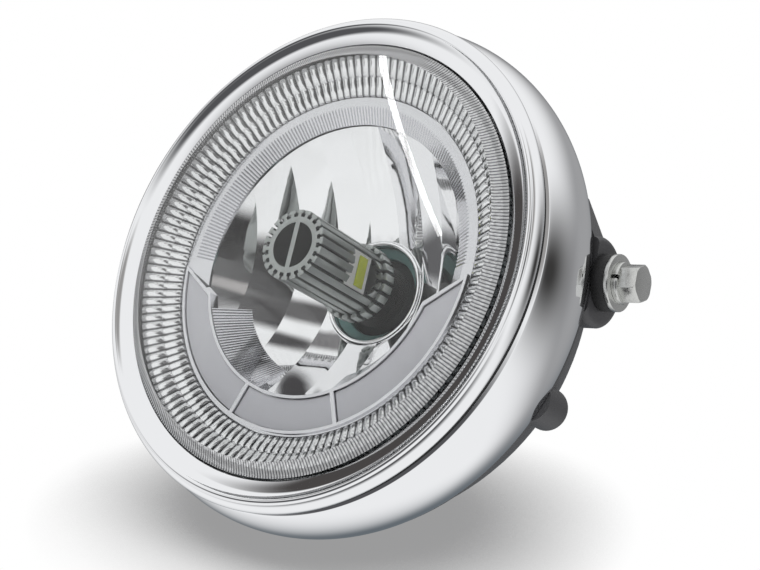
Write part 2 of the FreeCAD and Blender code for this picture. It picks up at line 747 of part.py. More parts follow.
def bulb_collar():
    return turned(
        (COLLAR_BORE_R, COLLAR_FRONT + COLLAR_WALL),
        (COLLAR_R, COLLAR_FRONT),
        (COLLAR_R, COLLAR_SEAT),
        (COLLAR_FLANGE_R, COLLAR_SEAT),
        (COLLAR_FLANGE_R, NECK_BACK),
        (COLLAR_BORE_R, NECK_BACK),
    )


def wire_leg_x():
    return TAIL_R + WIRE_SIDE_GAP + WIRE_R


def wire_bend_z():
    """Height of the centre of the wire clip's bend, so that the bend stays on the neck."""
    return NECK_R - WIRE_R - 2 * CLIP_SCREW_HEAD_R - wire_leg_x() + WIRE_R


def clip_screw_z():
    return wire_bend_z() + wire_leg_x() + WIRE_R + CLIP_SCREW_R + THREAD_FIT


def bulb_spring_clip():
    y = NECK_BACK + WIRE_R
    leg = wire_leg_x()
    bend = wire_bend_z()
    path = Part.Wire([
        Part.makeLine(Vector(-leg, y, -WIRE_TOE), Vector(-leg, y, bend)),
        Part.Arc(Vector(-leg, y, bend), Vector(0, y, bend + leg), Vector(leg, y, bend)).toShape(),
        Part.makeLine(Vector(leg, y, bend), Vector(leg, y, -WIRE_TOE)),
    ])
    section = Part.Wire(Part.makeCircle(WIRE_R, Vector(-leg, y, -WIRE_TOE), Vector(0, 0, 1)))
    return path.makePipeShell([section], True, False)


def clip_screw():
    head_seat = NECK_BACK + 2 * WIRE_R
    shank = along_y(CLIP_SCREW_R, NECK_BACK - CLIP_SCREW_LENGTH, head_seat, z=clip_screw_z())
    head = along_y(CLIP_SCREW_HEAD_R, head_seat, head_seat + CLIP_SCREW_HEAD_H, z=clip_screw_z())
    return shank.fuse(head)


def fin_outline(step, y):
    """Outline of the heat sink's T-shaped fins, with step added to their height."""
    profile = [
        (FIN_ROOT_R, -FIN_STEM_W / 2),
        (FIN_NECK_R + step, -FIN_STEM_W / 2),
        (FIN_NECK_R + step, -FIN_HEAD_W / 2),
        (FIN_TIP_R + step, -FIN_HEAD_W / 2),
    ]
    profile += [(radius, -side) for radius, side in reversed(profile)]
    points = []
    for k in range(FIN_COUNT):
        turn = math.radians(360.0 * (k + 0.5) / FIN_COUNT)
        for radius, side in profile:
            x = radius * math.cos(turn) - side * math.sin(turn)
            z = radius * math.sin(turn) + side * math.cos(turn)
            points.append(Vector(x, y, z))
    return points


def bulb_heat_sink():
    body = prism(fin_outline(0.0, SINK_TIP), Vector(0, SINK_END - SINK_TIP, 0))
    crown = prism(fin_outline(CROWN_STEP, SINK_END), Vector(0, CROWN_END - SINK_END, 0))
    web = Part.makeBox(
        WEB_W, SINK_END - SINK_TIP, 2 * FIN_ROOT_R, Vector(-WEB_W / 2, SINK_TIP, -FIN_ROOT_R)
    )
    hollow = along_y(SINK_BORE_R, SINK_TIP, SINK_TIP + HOLLOW_DEPTH).cut(web)
    half = SLOT_W / 2
    bend = SLOT_END - half
    slot_face = Part.Face(Part.Wire([
        Part.makeLine(Vector(0, SLOT_FRONT, -half), Vector(0, bend, -half)),
        Part.Arc(Vector(0, bend, -half), Vector(0, SLOT_END, 0), Vector(0, bend, half)).toShape(),
        Part.makeLine(Vector(0, bend, half), Vector(0, SLOT_FRONT, half)),
        Part.makeLine(Vector(0, SLOT_FRONT, half), Vector(0, SLOT_FRONT, -half)),
    ]))
    slot = slot_face.extrude(Vector(FIN_TIP_R, 0, 0))
    # Behind the board the slot drops into a well for its wires.
    well_front = SLOT_FRONT + BOARD_LENGTH + 2 * BOARD_INSET
    well_room = Part.makeBox(
        FIN_TIP_R, SLOT_LENGTH, SLOT_W, Vector(WELL_FLOOR_X, well_front, -half)
    )
    well = slot.common(well_room)
    slot.translate(Vector(SLOT_FLOOR_X, 0, 0))
    cutters = [hollow]
    for shape in (slot, well):
        cutters += [shape, mirrored(shape)]
    return body.fuse(crown).cut(cutters)


def led_boards():
    board = Part.makeBox(
        BOARD_H, BOARD_LENGTH, BOARD_W,
        Vector(SLOT_FLOOR_X, SLOT_FRONT + BOARD_INSET, -BOARD_W / 2),
    )
    return pair(board)


def led_chips():
    chip = Part.makeBox(
        CHIP_H, CHIP_LENGTH, CHIP_W,
        Vector(SLOT_FLOOR_X + BOARD_H, SLOT_FRONT + CHIP_SETBACK, -CHIP_W / 2),
    )
    return pair(chip)


def bulb_base():
    return turned(
        (0.0, CROWN_END),
        (STEM_R, CROWN_END),
        (STEM_R, BASE_FRONT),
        (TAIL_R - COLLAR_WALL, BASE_FRONT),
        (TAIL_R, BASE_FRONT + COLLAR_WALL),
        (TAIL_R, NECK_BACK),
        (0.0, NECK_BACK),
    )


def bulb_tail():
    cap_r = TAIL_R - TAIL_GROOVE_CUT
    tail = turned(
        (0.0, NECK_BACK),
        (TAIL_R, NECK_BACK),
        (TAIL_R, TAIL_END - TAIL_CAP),
        (cap_r, TAIL_END),
        (0.0, TAIL_END),
    )
    groove = Part.makeBox(
        2 * TAIL_GROOVE_CUT, TAIL_END, TAIL_GROOVE_W,
        Vector(TAIL_R - TAIL_GROOVE_CUT, NECK_BACK + TAIL_COLLAR, -TAIL_GROOVE_W / 2),
    )
    return tail.cut([around(groove, 360.0 * k / TAIL_GROOVES) for k in range(TAIL_GROOVES)])


def bulb_terminals():
    upright = Part.makeBox(
        BLADE_H, BLADE_LENGTH, BLADE_W, Vector(BLADE_PITCH - BLADE_H / 2, TAIL_END, -BLADE_W / 2)
    )
    level = Part.makeBox(
        BLADE_W, BLADE_LENGTH, BLADE_H, Vector(-BLADE_W / 2, TAIL_END, BLADE_PITCH - BLADE_H / 2)
    )
    return Part.makeCompound([upright, mirrored(upright), level])


def rubber_boot():
    grip_r = NECK_R + BOOT_FIT
    lip_r = TAIL_R + BOOT_FIT
    return turned(
        (grip_r, NECK_BACK - BOOT_GRIP),
        (grip_r + BOOT_WALL, NECK_BACK - BOOT_GRIP),
        (grip_r + BOOT_WALL, BOOT_SHOULDER + BOOT_WALL),
        (lip_r + BOOT_WALL, BOOT_END),
        (lip_r + BOOT_WALL, BOOT_END + BOOT_LIP),
        (lip_r, BOOT_END + BOOT_LIP),
        (lip_r, BOOT_END - BOOT_WALL),
        (grip_r, BOOT_SHOULDER),
    )


def bucket_hollow():
    """The space inside the bucket's wall, from its open front to its back."""
    dome = ((BUCKET_COLLAR_R, BUCKET_SEAT + BUCKET_BEAD_W),
            (BUCKET_MID_R, BUCKET_MID_Y), (BUCKET_TURN_R, BUCKET_TURN_Y))
    dome_in = inner_arc(dome, BUCKET_WALL)
    return turned(
        (0.0, BUCKET_COLLAR_FRONT),
        (BUCKET_COLLAR_R - BUCKET_WALL, BUCKET_COLLAR_FRONT),
        dome_in[0],
        (dome_in[1], dome_in[2]),
        (BUCKET_BACK_R - BUCKET_WALL, BUCKET_INNER_BACK),
        (0.0, BUCKET_INNER_BACK),
    )


def side_boss():
    """The right-hand boss: a round pad on the bolt axis, faired up into the bucket."""
    pad = along_x(BOSS_R, BOSS_ROOT_X, BOSS_FACE_X)
    outer_edge = [edge for edge in pad.Edges if abs(edge.CenterOfMass.x - BOSS_FACE_X) < RIM_WALL]
    pad = pad.makeFillet(BOSS_ROUND, outer_edge)
    front = BUCKET_SEAT + BUCKET_BEAD_W + BOSS_RIM_GAP
    top = BOLT_RISE + FAIRING_RISE
    points = [
        Vector(BOSS_ROOT_X, front, BOLT_RISE),
        Vector(BOSS_FACE_X - BOSS_ROUND, front, BOLT_RISE),
        Vector(BOSS_FACE_X - BOSS_ROUND / 4, front, BOLT_RISE + FAIRING_START),
        Vector(BOSS_FACE_X - FAIRING_RUN, front, top),
        Vector(BOSS_ROOT_X, front, top),
    ]
    fairing = prism(points, Vector(0, BOLT_SETBACK + FAIRING_BACK - front, 0))
    rim_side = Part.makeBox(
        BOSS_FACE_X, front, 4 * BOSS_R, Vector(BOSS_ROOT_X, 0, BOLT_RISE - 2 * BOSS_R)
    )
    return pad.fuse(fairing).cut(rim_side)


def rear_bucket():
    shell = turned(
        (0.0, BUCKET_COLLAR_FRONT),
        (BUCKET_COLLAR_R, BUCKET_COLLAR_FRONT),
        (BUCKET_COLLAR_R, BUCKET_SEAT),
        (BUCKET_BEAD_R, BUCKET_SEAT),
        (BUCKET_BEAD_R, BUCKET_SEAT + BUCKET_BEAD_W),
        (BUCKET_COLLAR_R, BUCKET_SEAT + BUCKET_BEAD_W),
        ((BUCKET_MID_R, BUCKET_MID_Y), (BUCKET_TURN_R, BUCKET_TURN_Y)),
        (BUCKET_BACK_R, BUCKET_BACK_Y),
        (0.0, BUCKET_BACK_Y),
    )
    boss = side_boss()
    lug_end = BUCKET_SEAT + LUG_LENGTH
    lug = along_y(LUG_R, BUCKET_SEAT, lug_end, x=LUG_AXIS_R)
    lug_rim = [edge for edge in lug.Edges if abs(edge.CenterOfMass.y - lug_end) < LUG_ROUND / 2]
    lug = lug.makeFillet(LUG_ROUND, lug_rim)
    lugs = [around(lug, angle) for angle in LUG_ANGLES]
    nut_boss = along_x(NUT_BOSS_R, NUT_BOSS_IN_X, BOSS_FACE_X - BOSS_ROUND)
    body = shell.fuse([boss, mirrored(boss)]).cut(bucket_hollow())
    body = body.fuse(lugs + [nut_boss, mirrored(nut_boss)])

    bolt_hole = along_x(BOLT_R + BOLT_CLEARANCE, NUT_BOSS_IN_X, BOSS_FACE_X)
    nut_pocket = hexagon_on_bolt(NUT_FLATS + 2 * NUT_FIT, NUT_BOSS_IN_X, NUT_H)
    cutters = [bolt_hole, mirrored(bolt_hole), nut_pocket, mirrored(nut_pocket)]
    screw_hole = along_y(SCREW_R + SCREW_CLEARANCE, TAB_BACK, SCREW_SEAT, x=LUG_AXIS_R)
    head_hole = along_y(SCREW_HEAD_R + SCREW_CLEARANCE, SCREW_SEAT, lug_end, x=LUG_AXIS_R)
    notch_w = TAB_WIDTH + 2 * NOTCH_CLEARANCE
    notch = Part.makeBox(
        BUCKET_BEAD_R, TAB_BACK + NOTCH_CLEARANCE - BUCKET_COLLAR_FRONT, notch_w,
        Vector(LUG_AXIS_R - 2 * TAB_REACH, BUCKET_COLLAR_FRONT, -notch_w / 2),
    )
    for angle in LUG_ANGLES:
        cutters += [around(shape, angle) for shape in (screw_hole, head_hole, notch)]
    cutters.append(along_y(GROMMET_WAIST_R, BUCKET_INNER_BACK, BUCKET_BACK_Y, z=-GROMMET_DROP))
    return body.cut(cutters)


def rim_screws():
    end = TAB_FRONT - RIM_NUT_H - SCREW_TAIL
    shank = along_y(SCREW_R, end, SCREW_SEAT, x=LUG_AXIS_R)
    head = along_y(SCREW_HEAD_R, SCREW_SEAT, SCREW_SEAT + SCREW_HEAD_H, x=LUG_AXIS_R)
    top = [edge for edge in head.Edges if edge.CenterOfMass.y > SCREW_SEAT + SCREW_HEAD_H / 2]
    head = head.makeFillet(SCREW_HEAD_H / 2, [edge for edge in top if edge.Closed])
    screw = shank.fuse(head)
    return Part.makeCompound([around(screw, angle) for angle in LUG_ANGLES])


def rim_nuts():
    corner = RIM_NUT_FLATS / math.sqrt(3)
    start = TAB_FRONT - RIM_NUT_H
    points = []
    for k in range(6):
        turn = math.radians(60 * k)
        points.append(Vector(LUG_AXIS_R + corner * math.sin(turn), start, corner * math.cos(turn)))
    nut = prism(points, Vector(0, RIM_NUT_H, 0))
    nut = nut.cut(along_y(SCREW_R + THREAD_FIT, start, TAB_FRONT, x=LUG_AXIS_R))
    return Part.makeCompound([around(nut, angle) for angle in LUG_ANGLES])


def side_nuts():
    nut = hexagon_on_bolt(NUT_FLATS, NUT_BOSS_IN_X, NUT_H)
    return pair(nut.cut(along_x(BOLT_R + THREAD_FIT, NUT_BOSS_IN_X, NUT_BOSS_IN_X + NUT_H)))


def side_ring(radius, start, height):
    ring = along_x(radius, start, start + height)
    return ring.cut(along_x(BOLT_R + BOLT_CLEARANCE, start, start + height))


def side_spacers():
    return pair(side_ring(SPACER_R, BOSS_FACE_X, SPACER_H))


def flat_washers():
    return pair(side_ring(WASHER_R, BOSS_FACE_X + SPACER_H, WASHER_H))


def spring_washers():
    start = BOSS_FACE_X + SPACER_H + WASHER_H
    ring = side_ring(SPRING_WASHER_R, start, SPRING_WASHER_H)
    slit = Part.makeBox(
        SPRING_WASHER_H, SPRING_WASHER_R, SPRING_WASHER_SLIT,
        Vector(start, BOLT_SETBACK - SPRING_WASHER_R, BOLT_RISE - SPRING_WASHER_SLIT / 2),
    )
    return pair(ring.cut(slit))


def side_bolts():
    under_head = BOSS_FACE_X + SPACER_H + WASHER_H + SPRING_WASHER_H
    end = under_head + BOLT_HEAD_H
    head = hexagon_on_bolt(BOLT_FLATS, under_head, BOLT_HEAD_H)
    corner = BOLT_FLATS / math.sqrt(3)
    cone = Part.makeCone(
        corner + BOLT_HEAD_H - BOLT_CHAMFER, corner - BOLT_CHAMFER, BOLT_HEAD_H,
        Vector(under_head, BOLT_SETBACK, BOLT_RISE), X_AXIS,
    )
    shank = along_x(BOLT_R, NUT_BOSS_IN_X, under_head)
    return pair(head.common(cone).fuse(shank))


def cable_grommet():
    wall_front = BUCKET_INNER_BACK - GROMMET_FIT
    wall_back = BUCKET_BACK_Y + GROMMET_FIT
    waist_r = GROMMET_WAIST_R - GROMMET_FIT
    grommet = turned(
        (GROMMET_BORE_R, wall_front - GROMMET_LIP_H),
        (GROMMET_LIP_R, wall_front - GROMMET_LIP_H / 2),
        (GROMMET_LIP_R, wall_front),
        (waist_r, wall_front),
        (waist_r, wall_back),
        (GROMMET_LIP_R, wall_back),
        (GROMMET_LIP_R, wall_back + GROMMET_LIP_H / 2),
        (GROMMET_BORE_R, wall_back + GROMMET_LIP_H),
    )
    grommet.translate(Vector(0, 0, -GROMMET_DROP))
    return grommet


PIECES = {
    "chrome_rim": chrome_rim,
    "lens": lens,
    "lens_gasket": lens_gasket,
    "lens_sealant": lens_sealant,
    "fluted_ring": fluted_ring,
    "front_mask": front_mask,
    "crescent_panel_left": lambda: crescent_panel(-1),
    "crescent_panel_centre": lambda: crescent_panel(0),
    "crescent_panel_right": lambda: crescent_panel(1),
    "reflector": reflector,
    "reflector_clips": reflector_clips,
    "bulb_collar": bulb_collar,
    "bulb_spring_clip": bulb_spring_clip,
    "clip_screw": clip_screw,
    "bulb_heat_sink": bulb_heat_sink,
    "led_boards": led_boards,
    "led_chips": led_chips,
    "bulb_base": bulb_base,
    "bulb_tail": bulb_tail,
    "bulb_terminals": bulb_terminals,
    "rubber_boot": rubber_boot,
    "rear_bucket": rear_bucket,
    "rim_screws": rim_screws,
    "rim_nuts": rim_nuts,
    "side_nuts": side_nuts,
    "side_spacers": side_spacers,
    "flat_washers": flat_washers,
    "spring_washers": spring_washers,
    "side_bolts": side_bolts,
    "cable_grommet": cable_grommet,
}

os.makedirs("parts", exist_ok=True)
for node, make in PIECES.items():
    shape = make()
    shape.translate(FRAME_SHIFT)
    shape.exportStep(f"parts/{node}.step")
    print(node, "solids", len(shape.Solids), "valid", shape.isValid(), "volume", round(shape.Volume, 1))
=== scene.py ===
import json
import math

import bmesh
import bpy
from mathutils import Euler, Matrix, Vector

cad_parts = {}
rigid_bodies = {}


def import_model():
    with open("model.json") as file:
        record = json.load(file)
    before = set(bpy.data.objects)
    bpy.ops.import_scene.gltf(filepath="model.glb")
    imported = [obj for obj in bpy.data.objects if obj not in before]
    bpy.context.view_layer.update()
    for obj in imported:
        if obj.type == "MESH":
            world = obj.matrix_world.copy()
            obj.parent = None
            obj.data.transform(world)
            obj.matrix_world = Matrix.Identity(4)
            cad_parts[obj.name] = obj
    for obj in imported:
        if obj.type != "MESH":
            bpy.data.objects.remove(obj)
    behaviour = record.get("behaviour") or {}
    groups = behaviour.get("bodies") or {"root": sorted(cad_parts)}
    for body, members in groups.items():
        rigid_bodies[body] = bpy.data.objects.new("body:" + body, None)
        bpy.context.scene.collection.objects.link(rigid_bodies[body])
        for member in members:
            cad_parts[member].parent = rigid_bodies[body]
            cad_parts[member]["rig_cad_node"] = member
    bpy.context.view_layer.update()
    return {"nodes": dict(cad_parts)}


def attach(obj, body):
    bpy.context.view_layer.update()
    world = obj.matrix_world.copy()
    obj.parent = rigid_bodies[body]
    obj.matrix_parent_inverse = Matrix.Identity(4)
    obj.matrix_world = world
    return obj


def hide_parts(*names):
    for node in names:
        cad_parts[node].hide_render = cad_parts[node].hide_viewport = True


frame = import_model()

bl_info = {
    "name": "Motorcycle headlight dressing",
    "version": (1, 0, 0),
    "blender": (4, 5, 0),
    "location": "3D Viewport > Sidebar > Headlight",
    "description": "Models and dresses the visible pieces of a round motorcycle headlight",
    "category": "Object",
}

NODES = frame["nodes"]

# From the lamp's own origin, in the plane of the rim's front edge, to the part's origin on the bolt axis
LAMP_SHIFT = Vector((0.0, -0.045, -0.008))
MERGE = 1e-6
MM = 0.001

# In degrees, on copies of CAD nodes: edges sharper than the first are rounded, and faces that meet at less
# than the second are joined
SHARP_ANGLE = 30.0
FLAT_ANGLE = 0.5
# How far the edges of small pieces are rounded
EDGE = 0.0003
FINE_EDGE = 0.0002
BOARD_EDGE = 0.00015
SPACER_EDGE = 0.0005

def length(name, description, default):
    return bpy.props.FloatProperty(name=name, description=description, default=default, unit="LENGTH")


def count(name, description, default):
    return bpy.props.IntProperty(name=name, description=description, default=default, min=3)


def linear(value):
    return value / 12.92 if value <= 0.04045 else ((value + 0.055) / 1.055) ** 2.4


def colour(code):
    """An sRGB hex code as a linear RGBA colour."""
    parts = [linear(int(code[k:k + 2], 16) / 255.0) for k in (0, 2, 4)]
    return (*parts, 1.0)


def paint(name, description, code):
    return bpy.props.FloatVectorProperty(
        name=name, description=description, default=colour(code), subtype="COLOR", size=4, min=0.0, max=1.0
    )


class LampSizes(bpy.types.PropertyGroup):
    """Sizes of the modelled pieces, from the lamp's own origin."""

    wall: length("Rim wall", "Thickness of the chromed sheet", 0.0014)
    lip_radius: length("Lip radius", "Inner radius of the rim", 0.0829)
    lip_rise: length("Lip rise", "How far the lip stands before the edge plane", 0.0009)
    lip_back: length("Lip back", "Depth of the lip's back", 0.0015)
    lip_width: length("Lip width", "Width of the flat next to the lens", 0.0037)
    slope_rise: length("Flat rise", "How far the flat climbs to the foot of the slope", 0.0008)
    slope_width: length("Slope width", "Width of the hollow slope up to the crest", 0.0029)
    slope_sag: length("Slope sag", "Hollow of the slope", 0.00025)
    crest_rise: length("Crest rise", "Height of the slope's end before the edge plane", 0.0034)
    crest_width: length("Crest width", "Width of the rounded crest", 0.0020)
    crest_bulge: length("Crest bulge", "Roundness of the crest", 0.00065)
    shoulder_drop: length("Shoulder drop", "How far the crest's outer end lies lower", 0.0004)
    shoulder_width: length("Shoulder width", "From the crest to the outer edge", 0.0025)
    shoulder_bulge: length("Shoulder bulge", "Roundness of the shoulder", 0.0004)
    edge_drop: length("Edge drop", "Depth of the straight outer edge", 0.0008)
    groove_depth: length("Groove depth", "Depth of the groove behind the edge", 0.0018)
    groove_slope: length("Groove slope", "Run of each groove wall", 0.0008)
    groove_width: length("Groove width", "Width of the groove's floor", 0.0022)
    skirt_step: length("Skirt step", "How far the skirt starts above the groove", 0.0016)
    skirt_bulge: length("Skirt bulge", "How far the skirt swells past the edge", 0.0040)
    back_step: length("Back step", "Radius of the skirt's back past the edge", 0.0012)
    rim_depth: length("Rim depth", "Depth of the whole rim behind the edge plane", 0.0335)
    lens_radius: length("Lens radius", "Outer radius of the lens wall", 0.0822)
    lens_wall: length("Lens wall", "Thickness of the lens", 0.0024)
    lens_shoulder_y: length("Lens shoulder", "Depth of the ribbed shoulder's foot", -0.0016)
    lens_corner_radius: length("Lens corner radius", "Radius where the dome meets the shoulder", 0.0771)
    lens_corner_y: length("Lens corner", "Depth of that corner", -0.0046)
    lens_crown: length("Lens crown", "Rise of the dome", 0.0119)
    flange_radius: length("Flange radius", "Outer radius of the lens flange", 0.0880)
    flange_front: length("Flange front", "Depth of the flange's front", 0.0022)
    flange_back: length("Flange back", "Depth of the flange's back", 0.0044)
    rib_count: count("Rib count", "Ribs round the lens shoulder", 420)
    rib_cut: length("Rib cut", "Depth between two ribs", 0.00045)
    flute_count: count("Flute count", "Flutes round the ring", 140)
    fin_root: length("Fin root", "Radius of the gaps between the heat sink's fins", 0.0106)
    fin_tip: length("Fin tip", "Outer radius of the heat sink's fins", 0.0132)
    tab_radius: length("Tab radius", "Outer radius of a screw tab inside the rim", 0.0050)
    tab_front: length("Tab front", "Depth of a tab's front", 0.0275)
    tab_depth: length("Tab depth", "Thickness of a tab", 0.0030)
    tab_bore: length("Tab bore", "Radius of a tab's screw hole", 0.00205)
    tab_axis: length("Tab axis", "Radius at which the rim screws sit", 0.0902)


class LampFinishes(bpy.types.PropertyGroup):
    """Colours of the finishes."""

    chrome: paint("Chrome", "Bright chrome plate on the rim", "eaebed")
    trim: paint("Trim", "Metallised plastic of the flutes", "eeeeef")
    mask: paint("Mask", "Metallised plastic of the mask", "d2d2d5")
    mirror: paint("Mirror", "Metallised mirror of the reflector", "f2f2f3")
    panel: paint("Panel", "Satin lacquer of the crescent panels", "c4c3c8")
    clear: paint("Lens", "Clear polycarbonate", "fbfcfc")
    rubber: paint("Rubber", "Moulded black rubber", "1d1d1e")
    steel: paint("Spring steel", "Plain spring steel", "b9babb")
    teal: paint("Collar", "Teal coating", "6f9692")
    sealant: paint("Sealant", "Pale grey silicone", "c4c6c8")
    aluminium: paint("Aluminium", "Bead-blasted aluminium", "a6aaa8")
    board: paint("Board", "White solder mask", "f0f0ec")
    phosphor: paint("Phosphor", "Yellow-green LED phosphor", "cdd61c")
    tail: paint("Tail", "Moulded black plastic", "0e0e0f")
    brass: paint("Brass", "Plain brass", "d2b26a")
    bucket: paint("Bucket", "Moulded dark grey plastic", "48484a")
    zinc: paint("Zinc", "Bright zinc plate", "c9cac8")


def at(x, y, z):
    """A place given from the lamp's own origin, in the part's frame."""
    return Vector((x, y, z)) + LAMP_SHIFT


def arc(start, end, bulge, steps=10):
    """Points after start along an arc to end that leaves its chord by bulge, forward if positive."""
    a = Vector(start)
    b = Vector(end)
    run = b - a
    side = Vector((run.y, -run.x)) / run.length
    half = run.length / 2
    radius = (half * half + bulge * bulge) / (2 * bulge)
    middle = (a + b) / 2 + side * (bulge - radius)
    opening = 2 * math.asin(half / abs(radius)) * (1 if bulge > 0 else -1)
    points = []
    for k in range(1, steps + 1):
        turn = opening * (k / steps - 0.5)
        ahead = run.normalized() * math.sin(turn) * abs(radius)
        if bulge < 0:
            ahead = -ahead
        points.append(tuple(middle + ahead + side * (radius * math.cos(turn))))
    return points


def deselect():
    bpy.ops.object.select_all(action="DESELECT")


def draw_line(name, points):
    """A new mesh with one open line through the points, left in edit mode with its end selected."""
    deselect()
    bpy.ops.mesh.primitive_plane_add(size=0.01, location=(0.0, 0.0, 0.0))
    piece = bpy.context.object
    piece.name = name
    piece.data.name = name
    bpy.ops.object.mode_set(mode="EDIT")
    bpy.ops.mesh.select_all(action="SELECT")
    bpy.ops.mesh.merge(type="CENTER")
    bpy.ops.transform.translate(value=points[0])
    for here, there in zip(points[:-1], points[1:]):
        bpy.ops.mesh.extrude_region_move(TRANSFORM_OT_translate={"value": there - here})
    return piece


def close_line():
    """Join the two ends of the drawn line."""
    mesh = bmesh.from_edit_mesh(bpy.context.object.data)
    for vert in mesh.verts:
        vert.select_set(len(vert.link_edges) == 1)
    mesh.select_flush_mode()
    bmesh.update_edit_mesh(bpy.context.object.data)
    bpy.ops.mesh.edge_face_add()


def spin_all(steps, angle=2 * math.pi, copies=False):
    """Spin everything about the optical axis."""
    bpy.ops.mesh.select_all(action="SELECT")
    bpy.ops.mesh.spin(
        steps=steps, dupli=copies, angle=angle, use_auto_merge=False, use_normal_flip=False,
        center=LAMP_SHIFT, axis=(0.0, 1.0, 0.0),
    )


def weld():
    """Merge doubled points, turn the normals outward and leave edit mode."""
    bpy.ops.mesh.select_all(action="SELECT")
    bpy.ops.mesh.remove_doubles(threshold=MERGE)
    bpy.ops.mesh.normals_make_consistent(inside=False)
    bpy.ops.object.mode_set(mode="OBJECT")


def select_where(piece, test):
    """In edit mode, select the points for which test holds of their place from the lamp's own origin."""
    mesh = bmesh.from_edit_mesh(piece.data)
    mesh.select_mode = {"VERT"}
    for vert in mesh.verts:
        vert.select_set(bool(test(vert.co - LAMP_SHIFT)))
    mesh.select_flush_mode()
    bmesh.update_edit_mesh(piece.data)


def bevel(piece, width, segments, angle):
    modifier = piece.modifiers.new("Bevel", "BEVEL")
    modifier.width = width
    modifier.segments = segments
    modifier.limit_method = "ANGLE"
    modifier.angle_limit = math.radians(angle)
    bpy.context.view_layer.objects.active = piece
    bpy.ops.object.modifier_apply(modifier=modifier.name)


def smooth(piece, angle=35.0):
    deselect()
    piece.select_set(True)
    bpy.context.view_layer.objects.active = piece
    bpy.ops.object.shade_smooth_by_angle(angle=math.radians(angle))


def settle(piece, material, node):
    """Dress a finished piece and let it stand for its CAD node."""
    piece.data.materials.clear()
    piece.data.materials.append(material)
    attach(piece, "root")
    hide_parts(node)


def dress(material, *nodes):
    """Give CAD nodes that show themselves a material."""
    for node in nodes:
        NODES[node].data.materials.clear()
        NODES[node].data.materials.append(material)


def soften(node, width):
    """A copy of a CAD node with rounded edges."""
    deselect()
    source = NODES[node]
    source.select_set(True)
    bpy.context.view_layer.objects.active = source
    bpy.ops.object.duplicate()
    piece = bpy.context.object
    piece.name = node + "_rounded"
    piece.data.name = piece.name
    del piece["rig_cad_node"]
    bpy.ops.object.mode_set(mode="EDIT")
    bpy.ops.mesh.select_all(action="SELECT")
    bpy.ops.mesh.remove_doubles(threshold=MERGE)
    bpy.ops.mesh.dissolve_limited(angle_limit=math.radians(FLAT_ANGLE))
    bpy.ops.mesh.normals_make_consistent(inside=False)
    bpy.ops.object.mode_set(mode="OBJECT")
    bpy.ops.mesh.customdata_custom_splitnormals_clear()
    bevel(piece, width, 2, SHARP_ANGLE)
    smooth(piece)
    return piece


def add(tree, kind, inputs=(), **settings):
    """Add a node, set its options, and set or link its inputs given as (name or number, value) pairs."""
    node = tree.nodes.new(kind)
    for name, value in settings.items():
        setattr(node, name, value)
    for key, value in inputs:
        if isinstance(value, bpy.types.NodeSocket):
            tree.links.new(value, node.inputs[key])
        else:
            node.inputs[key].default_value = value
    return node


def surface(name, base, metallic, roughness):
    """A new material with its node tree and shader."""
    material = bpy.data.materials.new(name)
    material.use_nodes = True
    tree = material.node_tree
    shader = tree.nodes["Principled BSDF"]
    shader.inputs["Base Color"].default_value = base
    shader.inputs["Metallic"].default_value = metallic
    shader.inputs["Roughness"].default_value = roughness
    return material, tree, shader


def grain(tree, shader, scale, low, high, strength, distance):
    """Uneven roughness between low and high and a fine bump, from noise of a scale per metre."""
    place = add(tree, "ShaderNodeTexCoord")
    noise = add(
        tree, "ShaderNodeTexNoise",
        [("Vector", place.outputs["Object"]), ("Scale", scale), ("Detail", 4.0)],
    )
    spread = add(
        tree, "ShaderNodeMapRange",
        [
            ("Value", noise.outputs["Fac"]), ("From Min", 0.3), ("From Max", 0.7),
            ("To Min", low), ("To Max", high),
        ],
    )
    tree.links.new(spread.outputs["Result"], shader.inputs["Roughness"])
    bump = add(
        tree, "ShaderNodeBump",
        [("Height", noise.outputs["Fac"]), ("Strength", strength), ("Distance", distance)],
    )
    tree.links.new(bump.outputs["Normal"], shader.inputs["Normal"])


def around(tree, number):
    """A wave round the optical axis, 1 on each of a number of ridges and -1 half way between them."""
    place = add(tree, "ShaderNodeTexCoord")
    spot = add(
        tree, "ShaderNodeVectorMath", [(0, place.outputs["Object"]), (1, LAMP_SHIFT)], operation="SUBTRACT",
    )
    parts = add(tree, "ShaderNodeSeparateXYZ", [("Vector", spot.outputs["Vector"])])
    turn = add(
        tree, "ShaderNodeMath", [(0, parts.outputs["Z"]), (1, parts.outputs["X"])], operation="ARCTAN2",
    )
    angle = add(tree, "ShaderNodeMath", [(0, turn.outputs[0]), (1, float(number))], operation="MULTIPLY")
    return add(tree, "ShaderNodeMath", [(0, angle.outputs[0])], operation="COSINE").outputs[0]


def shade_between(tree, shader, value, low, high, dark, light):
    """Paint shade into the base colour: run it from dark to light as a value goes from low to high."""
    part = add(
        tree, "ShaderNodeMapRange", [("Value", value), ("From Min", low), ("From Max", high)],
        interpolation_type="SMOOTHSTEP",
    )
    tint = add(
        tree, "ShaderNodeMix", [("Factor", part.outputs["Result"]), (6, dark), (7, light)], data_type="RGBA",
    )
    tree.links.new(tint.outputs[2], shader.inputs["Base Color"])


# Under that of solid polycarbonate, so that the lens's own reflections stay faint
LENS_IOR = 1.36


def see_through(name, base, roughness, clearness):
    """Clear plastic that lets the lamps' light through."""
    material, tree, shader = surface(name, base, 0.0, roughness)
    shader.inputs["IOR"].default_value = LENS_IOR
    shader.inputs["Transmission Weight"].default_value = clearness
    path = add(tree, "ShaderNodeLightPath")
    through = add(tree, "ShaderNodeBsdfTransparent", [("Color", colour("f4f6f6"))])
    mix = add(
        tree, "ShaderNodeMixShader",
        [(0, path.outputs["Is Shadow Ray"]), (1, shader.outputs["BSDF"]), (2, through.outputs["BSDF"])],
    )
    tree.links.new(mix.outputs["Shader"], tree.nodes["Material Output"].inputs["Surface"])
    return material


